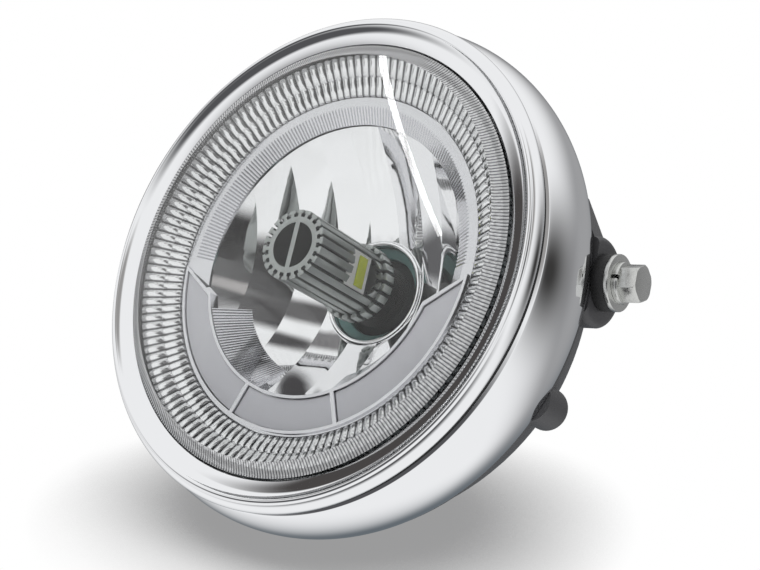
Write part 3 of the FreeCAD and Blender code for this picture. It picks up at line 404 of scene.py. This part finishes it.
def make_materials(sizes, finishes):
    made = {}

    # Bright chrome over polished steel: a hard mirror, a little blue in the white, with faint wipe marks.
    made["chrome"], tree, shader = surface("chrome_plate", finishes.chrome, 1.0, 0.03)
    grain(tree, shader, 60.0, 0.015, 0.045, 0.02, 0.0002)

    # Painted shade in the groove between the rim's face and its skirt: matt near-black on the groove's
    # faces, a thin dark line.
    made["joint"], tree, shader = surface("joint_filler", colour("1a1a1b"), 0.0, 0.5)
    grain(tree, shader, 1500.0, 0.4, 0.6, 0.1, 0.0001)

    # Aluminium evaporated on moulded plastic under clear lacquer: softer and greyer than chrome.
    made["mask"], tree, shader = surface("metallised_plastic", finishes.mask, 1.0, 0.08)
    grain(tree, shader, 900.0, 0.05, 0.11, 0.02, 0.0001)

    # The same on the flutes, brighter, with painted shade in the narrow gaps: the base colour darkens
    # between flutes, so each flute has a dark outline.
    made["flutes"], tree, shader = surface("metallised_flutes", finishes.trim, 0.92, 0.1)
    grain(tree, shader, 900.0, 0.07, 0.14, 0.02, 0.0001)
    # Painted shade: the base colour runs to dark grey half way between two flutes.
    shade_between(
        tree, shader, around(tree, sizes.flute_count), -1.0, -0.5, colour("5a5a5c"), finishes.trim,
    )

    # The reflector's mirror: the same metal on a smoother moulding.
    made["mirror"], tree, shader = surface("metallised_mirror", finishes.mirror, 1.0, 0.05)
    grain(tree, shader, 300.0, 0.02, 0.04, 0.01, 0.0002)

    # Satin grey lacquer on plastic: an even, lilac grey with a soft sheen.
    made["panel"], tree, shader = surface("satin_lacquer", finishes.panel, 0.0, 0.45)
    grain(tree, shader, 4000.0, 0.4, 0.5, 0.05, 0.00005)

    # Clear polycarbonate: no colour of its own, sharp reflections, and lamps shine through it.
    made["clear"] = see_through("clear_polycarbonate", finishes.clear, 0.0, 1.0)

    # The same plastic where it is moulded with fine ribs: it scatters, so it looks milky, with painted shade
    # that greys the gaps between ribs.
    made["ribbed"] = see_through("ribbed_polycarbonate", finishes.clear, 0.15, 0.5)
    tree = made["ribbed"].node_tree
    wave = around(tree, sizes.rib_count)
    # Painted shade: the base colour runs to grey between two ribs.
    shade_between(tree, tree.nodes["Principled BSDF"], wave, -0.9, 0.3, colour("86868a"), finishes.clear)

    # Moulded rubber: nearly black, dull, with a fine skin.
    made["rubber"], tree, shader = surface("black_rubber", finishes.rubber, 0.0, 0.6)
    grain(tree, shader, 2500.0, 0.5, 0.7, 0.15, 0.0001)

    # Spring steel wire and strip: plain grey metal with a drawn finish.
    made["steel"], tree, shader = surface("spring_steel", finishes.steel, 1.0, 0.3)
    grain(tree, shader, 2000.0, 0.22, 0.38, 0.05, 0.00005)

    # Teal coating on the bulb's metal collar: dark, with a satin gloss.
    made["teal"], tree, shader = surface("teal_coating", finishes.teal, 0.0, 0.3)
    grain(tree, shader, 1500.0, 0.26, 0.38, 0.05, 0.00005)

    # Pale silicone under the lens flange: matt light grey.
    made["sealant"], tree, shader = surface("pale_silicone", finishes.sealant, 0.0, 0.6)

    # Bead-blasted aluminium: grey-green, broad soft highlights, a fine sparkle of pits, and painted shade
    # deep between the fins, where little light comes.
    made["aluminium"], tree, shader = surface("blasted_aluminium", finishes.aluminium, 1.0, 0.42)
    grain(tree, shader, 6000.0, 0.34, 0.5, 0.2, 0.00008)
    # Painted shade: the base colour runs to near black at the fins' roots, on faces that do not look along
    # the axis.
    place = add(tree, "ShaderNodeTexCoord")
    spot = add(
        tree, "ShaderNodeVectorMath", [(0, place.outputs["Object"]), (1, LAMP_SHIFT)], operation="SUBTRACT",
    )
    across = add(
        tree, "ShaderNodeVectorMath",
        [(0, spot.outputs["Vector"]), (1, (1.0, 0.0, 1.0))], operation="MULTIPLY",
    )
    radius = add(tree, "ShaderNodeVectorMath", [(0, across.outputs["Vector"])], operation="LENGTH")
    lit = add(
        tree, "ShaderNodeMapRange",
        [("Value", radius.outputs["Value"]), ("From Min", sizes.fin_root), ("From Max", sizes.fin_tip)],
    )
    side = add(tree, "ShaderNodeNewGeometry")
    parts = add(tree, "ShaderNodeSeparateXYZ", [("Vector", side.outputs["Normal"])])
    end_face = add(tree, "ShaderNodeMath", [(0, parts.outputs["Y"])], operation="ABSOLUTE")
    light = add(
        tree, "ShaderNodeMath", [(0, lit.outputs["Result"]), (1, end_face.outputs[0])], operation="MAXIMUM",
    )
    shade_between(tree, shader, light.outputs[0], 0.0, 1.0, colour("2c302f"), finishes.aluminium)

    # White solder mask on the LED board: clean white with a slight gloss.
    made["board"], tree, shader = surface("white_solder_mask", finishes.board, 0.0, 0.35)

    # Phosphor silicone over the LED dies: saturated yellow-green, waxy.
    made["phosphor"], tree, shader = surface("led_phosphor", finishes.phosphor, 0.0, 0.3)
    shader.inputs["Subsurface Weight"].default_value = 0.2
    shader.inputs["Subsurface Radius"].default_value = (0.001, 0.001, 0.0004)

    # Black moulded plastic of the bulb's tail: dark, satin.
    made["tail"], tree, shader = surface("black_plastic", finishes.tail, 0.0, 0.4)
    grain(tree, shader, 3000.0, 0.35, 0.48, 0.05, 0.00005)

    # Plain brass blades: warm yellow metal, lightly brushed.
    made["brass"], tree, shader = surface("plain_brass", finishes.brass, 1.0, 0.3)
    grain(tree, shader, 2000.0, 0.24, 0.38, 0.05, 0.00005)

    # Dark grey plastic of the bucket: a fine moulded texture that breaks the sheen.
    made["bucket"], tree, shader = surface("bucket_plastic", finishes.bucket, 0.0, 0.42)
    grain(tree, shader, 1800.0, 0.36, 0.52, 0.12, 0.0001)

    # Bright zinc plate: silvery with a faint cloudiness.
    made["zinc"], tree, shader = surface("bright_zinc", finishes.zinc, 1.0, 0.25)
    grain(tree, shader, 700.0, 0.16, 0.34, 0.05, 0.0001)
    return made


MATERIALS = {}


class LAMP_OT_materials(bpy.types.Operator):
    """Make the lamp's procedural materials"""

    bl_idname = "lamp.materials"
    bl_label = "Make materials"

    def execute(self, context):
        MATERIALS.update(make_materials(context.scene.lamp_sizes, context.scene.lamp_finishes))
        return {"FINISHED"}


RIM_STEPS = 288
RIM_EDGE = 0.00022
RIM_SHARP_ANGLE = 25.0
# Where the two screw tabs sit round the rim, in degrees from +X
TAB_TURNS = (-25.0, -155.0)
TAB_SIDES = 24


class LAMP_OT_chrome_rim(bpy.types.Operator):
    """Spin the chrome rim from its section and join its two screw tabs"""

    bl_idname = "lamp.chrome_rim"
    bl_label = "Chrome rim"

    def execute(self, context):
        s = context.scene.lamp_sizes
        valley = (s.lip_radius + s.lip_width, -s.lip_rise - s.slope_rise)
        slope_end = (valley[0] + s.slope_width, -s.crest_rise)
        crest_end = (slope_end[0] + s.crest_width, s.shoulder_drop - s.crest_rise)
        edge = crest_end[0] + s.shoulder_width
        groove = edge - s.groove_depth
        groove_front = s.edge_drop + s.groove_slope
        groove_back = groove_front + s.groove_width
        skirt_front = (groove + s.skirt_step, groove_back + s.groove_slope)
        skirt_back = (edge + s.back_step, s.rim_depth)
        bulge = s.skirt_bulge - (skirt_front[0] + skirt_back[0]) / 2 + edge
        section = [(s.lip_radius, s.lip_back), (s.lip_radius, -s.lip_rise), valley]
        section += arc(valley, slope_end, -s.slope_sag)
        section += arc(slope_end, crest_end, s.crest_bulge)
        section += arc(crest_end, (edge, 0.0), s.shoulder_bulge)
        joint_edge = (groove + s.skirt_step / 3, groove_back + s.groove_slope / 3)
        section += [(edge, s.edge_drop), (groove, groove_front), (groove, groove_back)]
        section += [joint_edge, skirt_front]
        section += arc(skirt_front, skirt_back, bulge, 24)
        inner_front = (skirt_front[0] - s.wall, skirt_front[1] + s.wall / 2)
        inner_back = (skirt_back[0] - s.wall, skirt_back[1])
        section += [inner_back]
        section += arc(inner_back, inner_front, -bulge, 12)
        section += [
            (groove - s.wall, groove_back),
            (groove - s.wall, groove_front),
            (crest_end[0] - s.wall, crest_end[1] + s.wall),
            (slope_end[0], slope_end[1] + s.wall),
            (valley[0], valley[1] + s.wall),
            (valley[0], s.lip_back),
        ]
        rim = draw_line("headlight_rim", [at(radius, y, 0.0) for radius, y in section])
        close_line()
        spin_all(RIM_STEPS)
        weld()
        bevel(rim, RIM_EDGE, 3, RIM_SHARP_ANGLE)
        for turn in TAB_TURNS:
            x = s.tab_axis * math.cos(math.radians(turn))
            z = s.tab_axis * math.sin(math.radians(turn))
            deselect()
            bpy.ops.mesh.primitive_circle_add(
                vertices=TAB_SIDES, radius=s.tab_bore, location=at(x, s.tab_front, z),
                rotation=(math.pi / 2, 0.0, 0.0),
            )
            tab = bpy.context.object
            bpy.ops.object.transform_apply(location=True, rotation=True, scale=True)
            bpy.ops.object.mode_set(mode="EDIT")
            bpy.ops.mesh.select_all(action="SELECT")
            spread = s.tab_radius / s.tab_bore
            bpy.ops.mesh.extrude_region_move()
            bpy.ops.transform.resize(value=(spread, 1.0, spread), center_override=at(x, s.tab_front, z))
            bpy.ops.mesh.select_all(action="SELECT")
            bpy.ops.mesh.extrude_region_move(TRANSFORM_OT_translate={"value": (0.0, s.tab_depth, 0.0)})
            weld()
            deselect()
            tab.select_set(True)
            rim.select_set(True)
            context.view_layer.objects.active = rim
            bpy.ops.object.join()
        smooth(rim, 40.0)
        settle(rim, MATERIALS["chrome"], "chrome_rim")
        # Painted shade: the groove's faces that look away from the axis, up to where the skirt starts, take
        # the near-black material.
        rim.data.materials.append(MATERIALS["joint"])
        for face in rim.data.polygons:
            spot = face.center - LAMP_SHIFT
            low = math.hypot(spot.x, spot.z) < joint_edge[0]
            if low and groove_front < spot.y < joint_edge[1] and self.outward(spot, face.normal):
                face.material_index = 1
        return {"FINISHED"}

    @staticmethod
    def outward(spot, normal):
        """Whether a face at a spot looks away from the optical axis."""
        return spot.x * normal.x + spot.z * normal.z > 0.0


LENS_STEPS = 22
SHOULDER_STEPS = 6


class LAMP_OT_lens(bpy.types.Operator):
    """Spin the lens and press fine ribs into its shoulder"""

    bl_idname = "lamp.lens"
    bl_label = "Lens"

    def execute(self, context):
        s = context.scene.lamp_sizes
        corner = (s.lens_corner_radius, s.lens_corner_y)
        crown_y = s.lens_corner_y - s.lens_crown
        sag = self.rise(s.lens_corner_radius, s.lens_crown)
        inner = s.lens_radius - s.lens_wall
        inner_corner = (s.lens_corner_radius - s.lens_wall / 2, s.lens_corner_y + s.lens_wall)
        inner_sag = self.rise(inner_corner[0], s.lens_crown)
        section = [(0.0, crown_y)]
        section += arc(section[0], corner, sag, LENS_STEPS)
        shoulder = []
        for k in range(1, SHOULDER_STEPS):
            part = k / SHOULDER_STEPS
            shoulder.append((
                corner[0] + (s.lens_radius - corner[0]) * part,
                corner[1] + (s.lens_shoulder_y - corner[1]) * part,
            ))
        section += shoulder
        section += [
            (s.lens_radius, s.lens_shoulder_y),
            (s.lens_radius, s.flange_front),
            (s.flange_radius, s.flange_front),
            (s.flange_radius, s.flange_back),
            (inner, s.flange_back),
            (inner, s.lens_shoulder_y + s.lens_wall / 2),
            inner_corner,
        ]
        section += arc(inner_corner, (0.0, crown_y + s.lens_wall), -inner_sag, LENS_STEPS)
        lens = draw_line("headlight_lens", [at(radius, y, 0.0) for radius, y in section])
        spin_all(2 * s.rib_count)
        bpy.ops.mesh.select_all(action="SELECT")
        bpy.ops.mesh.remove_doubles(threshold=MERGE)
        low = shoulder[0][0] - MERGE
        high = shoulder[-1][0] + MERGE
        pitch = math.pi / s.rib_count
        top = shoulder[0][1] - MERGE
        foot = shoulder[-1][1] + MERGE

        def between_ribs(spot):
            radius = math.hypot(spot.x, spot.z)
            if not (low < radius < high and top < spot.y < foot):
                return False
            return round(math.atan2(spot.z, spot.x) / pitch) % 2 == 1

        select_where(lens, between_ribs)
        bpy.ops.transform.translate(value=(0.0, s.rib_cut, 0.0))
        weld()
        smooth(lens, 25.0)
        settle(lens, MATERIALS["clear"], "lens")
        lens.data.materials.append(MATERIALS["ribbed"])
        for face in lens.data.polygons:
            spot = face.center - LAMP_SHIFT
            radius = math.hypot(spot.x, spot.z)
            on_shoulder = s.lens_corner_radius < radius < s.lens_radius - MERGE
            if on_shoulder and spot.y < s.lens_shoulder_y + s.rib_cut and face.normal.y < 0.0:
                face.material_index = 1
        return {"FINISHED"}

    @staticmethod
    def rise(radius, crown):
        """How far the half dome's outline leaves its own chord."""
        ball = (radius ** 2 + crown ** 2) / (2 * crown)
        chord = math.hypot(radius, crown)
        return ball - math.sqrt(ball ** 2 - chord ** 2 / 4)


# A flute from its outer end to its inner end and round its back: radius, y and height of its round, in mm
FLUTE_STATIONS = (
    (79.00, 2.00, 0.05),
    (79.00, 1.50, 0.45),
    (78.60, 1.20, 0.85),
    (77.90, 1.45, 1.05),
    (75.20, 2.90, 1.05),
    (72.40, 4.40, 1.05),
    (71.90, 5.00, 0.65),
    (71.40, 4.95, 0.95),
    (68.60, 6.45, 1.05),
    (65.85, 7.75, 0.95),
    (65.40, 8.30, 0.40),
    (65.40, 11.30, 0.05),
    (79.50, 4.60, 0.05),
)
FLUTE_ACROSS = 8


class LAMP_OT_fluted_ring(bpy.types.Operator):
    """Model one flute and copy it round the ring"""

    bl_idname = "lamp.fluted_ring"
    bl_label = "Fluted ring"

    def execute(self, context):
        number = context.scene.lamp_sizes.flute_count
        stations = [tuple(size * MM for size in station) for station in FLUTE_STATIONS]
        radius, y, height = stations[0]
        line = []
        for k in range(FLUTE_ACROSS + 1):
            across = 2.0 * k / FLUTE_ACROSS - 1.0
            turn = across * math.pi / number
            line.append(at(
                radius * math.cos(turn),
                y - height * math.cos(across * math.pi / 2),
                radius * math.sin(turn),
            ))
        ring = draw_line("headlight_flutes", line)
        bpy.ops.mesh.select_all(action="SELECT")
        for here, there in zip(stations, stations[1:] + stations[:1]):
            step = (there[0] - here[0], there[1] - here[1], 0.0)
            bpy.ops.mesh.extrude_region_move(TRANSFORM_OT_translate={"value": step})
            bpy.ops.transform.resize(
                value=(there[0] / here[0], there[2] / here[2], there[0] / here[0]),
                center_override=at(there[0], there[1], 0.0),
            )
        spin_all(number - 1, 2 * math.pi * (number - 1) / number, copies=True)
        weld()
        smooth(ring, 50.0)
        settle(ring, MATERIALS["flutes"], "fluted_ring")
        return {"FINISHED"}


class LAMP_OT_mask(bpy.types.Operator):
    """Dress the mask and round the edges of its three panels"""

    bl_idname = "lamp.mask"
    bl_label = "Mask and panels"

    def execute(self, context):
        dress(MATERIALS["mask"], "front_mask")
        for side in ("left", "centre", "right"):
            node = "crescent_panel_" + side
            settle(soften(node, EDGE), MATERIALS["panel"], node)
        return {"FINISHED"}


class LAMP_OT_reflector(bpy.types.Operator):
    """Dress the reflector, its clips and the seals round the lens"""

    bl_idname = "lamp.reflector"
    bl_label = "Reflector and seals"

    def execute(self, context):
        dress(MATERIALS["mirror"], "reflector")
        dress(MATERIALS["steel"], "reflector_clips", "bulb_spring_clip")
        dress(MATERIALS["rubber"], "lens_gasket", "rubber_boot")
        dress(MATERIALS["sealant"], "lens_sealant")
        return {"FINISHED"}


class LAMP_OT_bulb(bpy.types.Operator):
    """Round the edges of the LED bulb's pieces and dress them"""

    bl_idname = "lamp.bulb"
    bl_label = "LED bulb"

    def execute(self, context):
        dress(MATERIALS["teal"], "bulb_collar")
        dress(MATERIALS["tail"], "bulb_base", "bulb_tail")
        sink = soften("bulb_heat_sink", FINE_EDGE)
        settle(sink, MATERIALS["aluminium"], "bulb_heat_sink")
        settle(soften("led_boards", BOARD_EDGE), MATERIALS["board"], "led_boards")
        settle(soften("led_chips", FINE_EDGE), MATERIALS["phosphor"], "led_chips")
        settle(soften("bulb_terminals", FINE_EDGE), MATERIALS["brass"], "bulb_terminals")
        return {"FINISHED"}


class LAMP_OT_bucket(bpy.types.Operator):
    """Dress the bucket, its grommet and the screws that hold the rim"""

    bl_idname = "lamp.bucket"
    bl_label = "Bucket and rim fixings"

    def execute(self, context):
        dress(MATERIALS["bucket"], "rear_bucket")
        dress(MATERIALS["rubber"], "cable_grommet")
        dress(MATERIALS["zinc"], "rim_screws", "rim_nuts", "clip_screw")
        return {"FINISHED"}


class LAMP_OT_side_bolts(bpy.types.Operator):
    """Round the edges of the side bolts and of what they carry"""

    bl_idname = "lamp.side_bolts"
    bl_label = "Side bolts"

    def execute(self, context):
        dress(MATERIALS["zinc"], "side_nuts")
        settle(soften("side_bolts", EDGE), MATERIALS["zinc"], "side_bolts")
        settle(soften("flat_washers", EDGE), MATERIALS["zinc"], "flat_washers")
        settle(soften("spring_washers", EDGE), MATERIALS["zinc"], "spring_washers")
        settle(soften("side_spacers", SPACER_EDGE), MATERIALS["rubber"], "side_spacers")
        return {"FINISHED"}


CAMERA_PLACE = (0.316035, -0.413163, -0.139669)
CAMERA_TURN = (105.0064, -12.6076, 34.0602)
CAMERA_LENS = 66.3
CAMERA_SENSOR = 36.0
CAMERA_CLIP = 0.01
FLOOR_Z = -0.20
FLOOR_SIZE = 8.0
# From where to where the floor fades to plain white, from its middle
FLOOR_FADE = (0.2, 0.9)
# How bright the white world is as a light, where 1 is white
WORLD_LIGHT = 0.5

# What reflections see of the room, as soft spots on a dome: azimuth and height of the middle, half the
# width and half the height in degrees, the share of that which is even, grey
SPOTS = (
    (180.0, 16.0, 95.0, 52.0, 0.5, "a6a6a7"),
    (-146.0, 12.0, 26.0, 44.0, 0.4, "828284"),
    (-155.0, -14.0, 50.0, 56.0, 0.1, "697076"),
    (97.0, 14.0, 50.0, 36.0, 0.05, "3e3d3c"),
    (-14.0, -28.0, 58.0, 34.0, 0.5, "58585a"),
    (-60.0, 21.0, 20.0, 12.0, 0.5, "4e4b4a"),
    (26.0, 28.0, 20.0, 26.0, 0.4, "a3a19f"),
)
# The same, as seen through the lens
INNER_SPOTS = (
    (51.0, 9.0, 25.0, 31.0, 0.7, "2c2a2b"),
    (39.0, 37.0, 15.0, 14.0, 0.5, "3c3a3b"),
    (17.0, 34.0, 8.0, 12.0, 0.4, "525051"),
    (55.0, 24.0, 9.0, 5.0, 0.3, "a8a4a2"),
    (-38.0, -12.0, 28.0, 14.0, 0.4, "5c5b5d"),
    (-100.0, 20.0, 30.0, 40.0, 0.4, "6a6a6c"),
    (5.0, 57.0, 7.0, 8.0, 0.3, "484647"),
    (-24.0, 52.0, 9.0, 9.0, 0.4, "7c7a7b"),
)
DOME_RADIUS = 1.6
# The ground that the lamp stands on: how far the camera looks down on it in degrees, the size of the card
# that shows its painted shadow, how far the painted shadow reaches, and how open to the sky it starts and is
# darkest
GROUND_DIP = 14.0
GROUND_SIZE = 1.2
SHADOW_REACH = 0.055
SHADOW_OPEN = (0.97, 0.35)
SHADOW_DEPTH = 0.7
# Soft lamps: name, azimuth, height, distance, width and height, power in watts
SOFT_LAMPS = (
    ("key", -12.0, 38.0, 1.3, (0.9, 0.6), 6.0),
    ("top", 150.0, 62.0, 1.2, (0.8, 0.8), 4.0),
)
# Where the two ends of the long strip lamp stand that draws the streak on the lens
STREAK_TOP = (-54.5, 52.0)
STREAK_FOOT = (-4.5, 18.0)
STREAK_AWAY = 1.2
STREAK_WIDTH = 0.022
STREAK_POWER = 1.4


def heading(azimuth, height):
    """The direction at an azimuth from the front towards +X and a height above level."""
    turn = math.radians(azimuth)
    lift = math.radians(height)
    return Vector((math.sin(turn) * math.cos(lift), -math.cos(turn) * math.cos(lift), math.sin(lift)))


class LAMP_OT_stage(bpy.types.Operator):
    """Set the camera, the light, the floor and what reflections see"""

    bl_idname = "lamp.stage"
    bl_label = "Stage"

    def execute(self, context):
        self.camera(context)
        self.world(context)
        self.floor()
        self.dome()
        self.painted_ground_shadow()
        up = Vector((0.0, 0.0, 1.0))
        for name, azimuth, height, away, size, power in SOFT_LAMPS:
            self.lamp(name, heading(azimuth, height) * away, up, size, power).visible_glossy = False
        top = heading(*STREAK_TOP) * STREAK_AWAY
        foot = heading(*STREAK_FOOT) * STREAK_AWAY
        size = (STREAK_WIDTH, (top - foot).length)
        streak = self.lamp("streak", (top + foot) / 2, top - foot, size, STREAK_POWER)
        streak.light_linking.receiver_collection = bpy.data.collections.new("lens_alone")
        streak.light_linking.receiver_collection.objects.link(bpy.data.objects["headlight_lens"])
        context.scene.view_settings.view_transform = "Standard"
        return {"FINISHED"}

    @staticmethod
    def camera(context):
        data = bpy.data.cameras.new("photo_camera")
        data.lens = CAMERA_LENS
        data.sensor_width = CAMERA_SENSOR
        data.clip_start = CAMERA_CLIP
        camera = bpy.data.objects.new("photo_camera", data)
        camera.location = CAMERA_PLACE
        camera.rotation_euler = [math.radians(turn) for turn in CAMERA_TURN]
        context.collection.objects.link(camera)
        context.scene.camera = camera

    @staticmethod
    def world(context):
        world = bpy.data.worlds.new("studio")
        context.scene.world = world
        world.cycles.sampling_method = "NONE"
        world.use_nodes = True
        tree = world.node_tree
        tree.nodes.clear()
        path = add(tree, "ShaderNodeLightPath")
        seen = add(
            tree, "ShaderNodeMath",
            [(0, path.outputs["Is Camera Ray"]), (1, path.outputs["Is Glossy Ray"])], operation="ADD",
        )
        seen = add(
            tree, "ShaderNodeMath",
            [(0, seen.outputs[0]), (1, path.outputs["Is Transmission Ray"])],
            operation="ADD", use_clamp=True,
        )
        level = add(
            tree, "ShaderNodeMapRange",
            [("Value", seen.outputs[0]), ("To Min", WORLD_LIGHT), ("To Max", 1.0)],
        )
        light = add(
            tree, "ShaderNodeBackground",
            [("Color", (1.0, 1.0, 1.0, 1.0)), ("Strength", level.outputs["Result"])],
        )
        add(tree, "ShaderNodeOutputWorld", [("Surface", light.outputs["Background"])])

    @staticmethod
    def floor():
        deselect()
        bpy.ops.mesh.primitive_plane_add(size=FLOOR_SIZE, location=(0.0, 0.0, FLOOR_Z))
        floor = bpy.context.object
        floor.name = "studio_floor"
        # White paper: matt and a touch under white near the lamp, where a soft shadow shows, and plain
        # white further off.
        material, tree, shader = surface("white_paper", colour("f4f4f6"), 0.0, 0.9)
        place = add(tree, "ShaderNodeTexCoord")
        away = add(tree, "ShaderNodeVectorMath", [(0, place.outputs["Object"])], operation="LENGTH")
        path = add(tree, "ShaderNodeLightPath")
        part = add(
            tree, "ShaderNodeMapRange",
            [("Value", away.outputs["Value"]), ("From Min", FLOOR_FADE[0]), ("From Max", FLOOR_FADE[1]),
             ("To Max", path.outputs["Is Camera Ray"])],
            interpolation_type="SMOOTHSTEP",
        )
        glow = add(tree, "ShaderNodeEmission", [("Color", colour("ffffff"))])
        mix = add(
            tree, "ShaderNodeMixShader",
            [(0, part.outputs["Result"]), (1, shader.outputs["BSDF"]), (2, glow.outputs["Emission"])],
        )
        tree.links.new(mix.outputs["Shader"], tree.nodes["Material Output"].inputs["Surface"])
        floor.data.materials.append(material)
        floor.visible_glossy = False
        floor.visible_transmission = False

    @staticmethod
    def dome():
        """A white room with grey spots, for reflections alone."""
        deselect()
        bpy.ops.mesh.primitive_uv_sphere_add(segments=48, ring_count=24, radius=DOME_RADIUS)
        dome = bpy.context.object
        dome.name = "studio_dome"
        material = bpy.data.materials.new("studio_walls")
        material.use_nodes = True
        material.cycles.emission_sampling = "NONE"
        tree = material.node_tree
        tree.nodes.clear()
        place = add(tree, "ShaderNodeTexCoord")
        ahead = add(tree, "ShaderNodeVectorMath", [(0, place.outputs["Object"])], operation="NORMALIZE")
        path = add(tree, "ShaderNodeLightPath")
        depth = path.outputs["Transmission Depth"]
        inside = add(tree, "ShaderNodeMath", [(0, depth), (1, 0.5)], operation="GREATER_THAN")
        outside = add(tree, "ShaderNodeMath", [(0, depth), (1, 0.5)], operation="LESS_THAN")
        tint = colour("ffffff")
        for spots, limit in ((SPOTS, outside.outputs[0]), (INNER_SPOTS, inside.outputs[0])):
            for azimuth, height, wide, high, even, grey in spots:
                middle = heading(azimuth, height)
                reach = [2 * math.sin(math.radians(half / 2)) for half in (wide, high)]
                near = add(
                    tree, "ShaderNodeMapping",
                    [
                        ("Vector", ahead.outputs["Vector"]),
                        ("Location", middle),
                        ("Rotation", middle.to_track_quat("Z", "Y").to_euler()),
                        ("Scale", (*reach, 2.0)),
                    ],
                    vector_type="TEXTURE",
                )
                away = add(tree, "ShaderNodeVectorMath", [(0, near.outputs["Vector"])], operation="LENGTH")
                part = add(
                    tree, "ShaderNodeMapRange",
                    [
                        ("Value", away.outputs["Value"]), ("From Min", 1.0), ("From Max", even),
                        ("To Max", limit),
                    ],
                    interpolation_type="SMOOTHSTEP",
                )
                mix = add(
                    tree, "ShaderNodeMix",
                    [("Factor", part.outputs["Result"]), (6, tint), (7, colour(grey))], data_type="RGBA",
                )
                tint = mix.outputs[2]
        glow = add(tree, "ShaderNodeEmission", [("Color", tint)])
        add(tree, "ShaderNodeOutputMaterial", [("Surface", glow.outputs["Emission"])])
        dome.data.materials.append(material)
        dome.visible_camera = False
        dome.visible_diffuse = False
        dome.visible_shadow = False

    @staticmethod
    def painted_ground_shadow():
        """A card that touches the lamp where it stands, clear but for a painted soft shadow: a dark grey
        glow where ambient occlusion finds the lamp near.
        """
        turn = Euler([math.radians(angle) for angle in CAMERA_TURN]).to_matrix()
        dip = math.radians(GROUND_DIP)
        upward = turn.col[1] * math.cos(dip) + turn.col[2] * math.sin(dip)
        lowest = min(
            upward.dot(vertex.co)
            for piece in bpy.data.objects
            if piece.type == "MESH" and not piece.name.startswith("studio_")
            for vertex in piece.data.vertices
        )
        deselect()
        bpy.ops.mesh.primitive_plane_add(
            size=GROUND_SIZE,
            location=LAMP_SHIFT - upward * (upward.dot(LAMP_SHIFT) - lowest),
            rotation=upward.to_track_quat("Z", "Y").to_euler(),
        )
        card = bpy.context.object
        card.name = "studio_ground_shadow"
        material = bpy.data.materials.new("soft_shadow")
        material.use_nodes = True
        tree = material.node_tree
        tree.nodes.clear()
        open_part = add(tree, "ShaderNodeAmbientOcclusion", [("Distance", SHADOW_REACH)], samples=16)
        dark = add(
            tree, "ShaderNodeMapRange",
            [
                ("Value", open_part.outputs["AO"]), ("From Min", SHADOW_OPEN[0]),
                ("From Max", SHADOW_OPEN[1]), ("To Max", SHADOW_DEPTH),
            ],
        )
        clear = add(tree, "ShaderNodeBsdfTransparent")
        # Painted shadow: a dark grey glow, mixed in where ambient occlusion finds the lamp near, stands in
        # for its cast shadow.
        shade = add(tree, "ShaderNodeEmission", [("Color", colour("38383a"))])
        mix = add(
            tree, "ShaderNodeMixShader",
            [(0, dark.outputs["Result"]), (1, clear.outputs["BSDF"]), (2, shade.outputs["Emission"])],
        )
        add(tree, "ShaderNodeOutputMaterial", [("Surface", mix.outputs["Shader"])])
        material.cycles.emission_sampling = "NONE"
        card.data.materials.append(material)
        card.visible_diffuse = False
        card.visible_glossy = False
        card.visible_transmission = False
        card.visible_shadow = False

    @staticmethod
    def lamp(name, spot, upper, size, power):
        """An area lamp at a spot that shines at the part's origin, with its height along upper."""
        data = bpy.data.lights.new(name, "AREA")
        data.shape = "RECTANGLE"
        data.size = size[0]
        data.size_y = size[1]
        data.energy = power
        lamp = bpy.data.objects.new(name, data)
        lamp.location = spot
        back = spot.normalized()
        along = (upper - back * upper.dot(back)).normalized()
        lamp.rotation_euler = Matrix((along.cross(back), along, back)).transposed().to_euler()
        lamp.visible_camera = False
        lamp.visible_transmission = False
        bpy.context.collection.objects.link(lamp)
        return lamp


class LAMP_PT_sidebar(bpy.types.Panel):
    bl_idname = "LAMP_PT_sidebar"
    bl_label = "Headlight"
    bl_space_type = "VIEW_3D"
    bl_region_type = "UI"
    bl_category = "Headlight"

    def draw(self, context):
        for step in STEPS:
            self.layout.operator(step.bl_idname)
        for group in (context.scene.lamp_sizes, context.scene.lamp_finishes):
            box = self.layout.box()
            for name in group.__annotations__:
                box.prop(group, name)


STEPS = (
    LAMP_OT_materials,
    LAMP_OT_chrome_rim,
    LAMP_OT_lens,
    LAMP_OT_fluted_ring,
    LAMP_OT_mask,
    LAMP_OT_reflector,
    LAMP_OT_bulb,
    LAMP_OT_bucket,
    LAMP_OT_side_bolts,
    LAMP_OT_stage,
)
CLASSES = (LampSizes, LampFinishes, *STEPS, LAMP_PT_sidebar)


def register():
    for item in CLASSES:
        bpy.utils.register_class(item)
    bpy.types.Scene.lamp_sizes = bpy.props.PointerProperty(type=LampSizes)
    bpy.types.Scene.lamp_finishes = bpy.props.PointerProperty(type=LampFinishes)


def unregister():
    del bpy.types.Scene.lamp_finishes
    del bpy.types.Scene.lamp_sizes
    for item in reversed(CLASSES):
        bpy.utils.unregister_class(item)


def main():
    register()
    bpy.ops.lamp.materials()
    bpy.ops.lamp.chrome_rim()
    bpy.ops.lamp.lens()
    bpy.ops.lamp.fluted_ring()
    bpy.ops.lamp.mask()
    bpy.ops.lamp.reflector()
    bpy.ops.lamp.bulb()
    bpy.ops.lamp.bucket()
    bpy.ops.lamp.side_bolts()
    bpy.ops.lamp.stage()


if __name__ == "__main__":
    main()
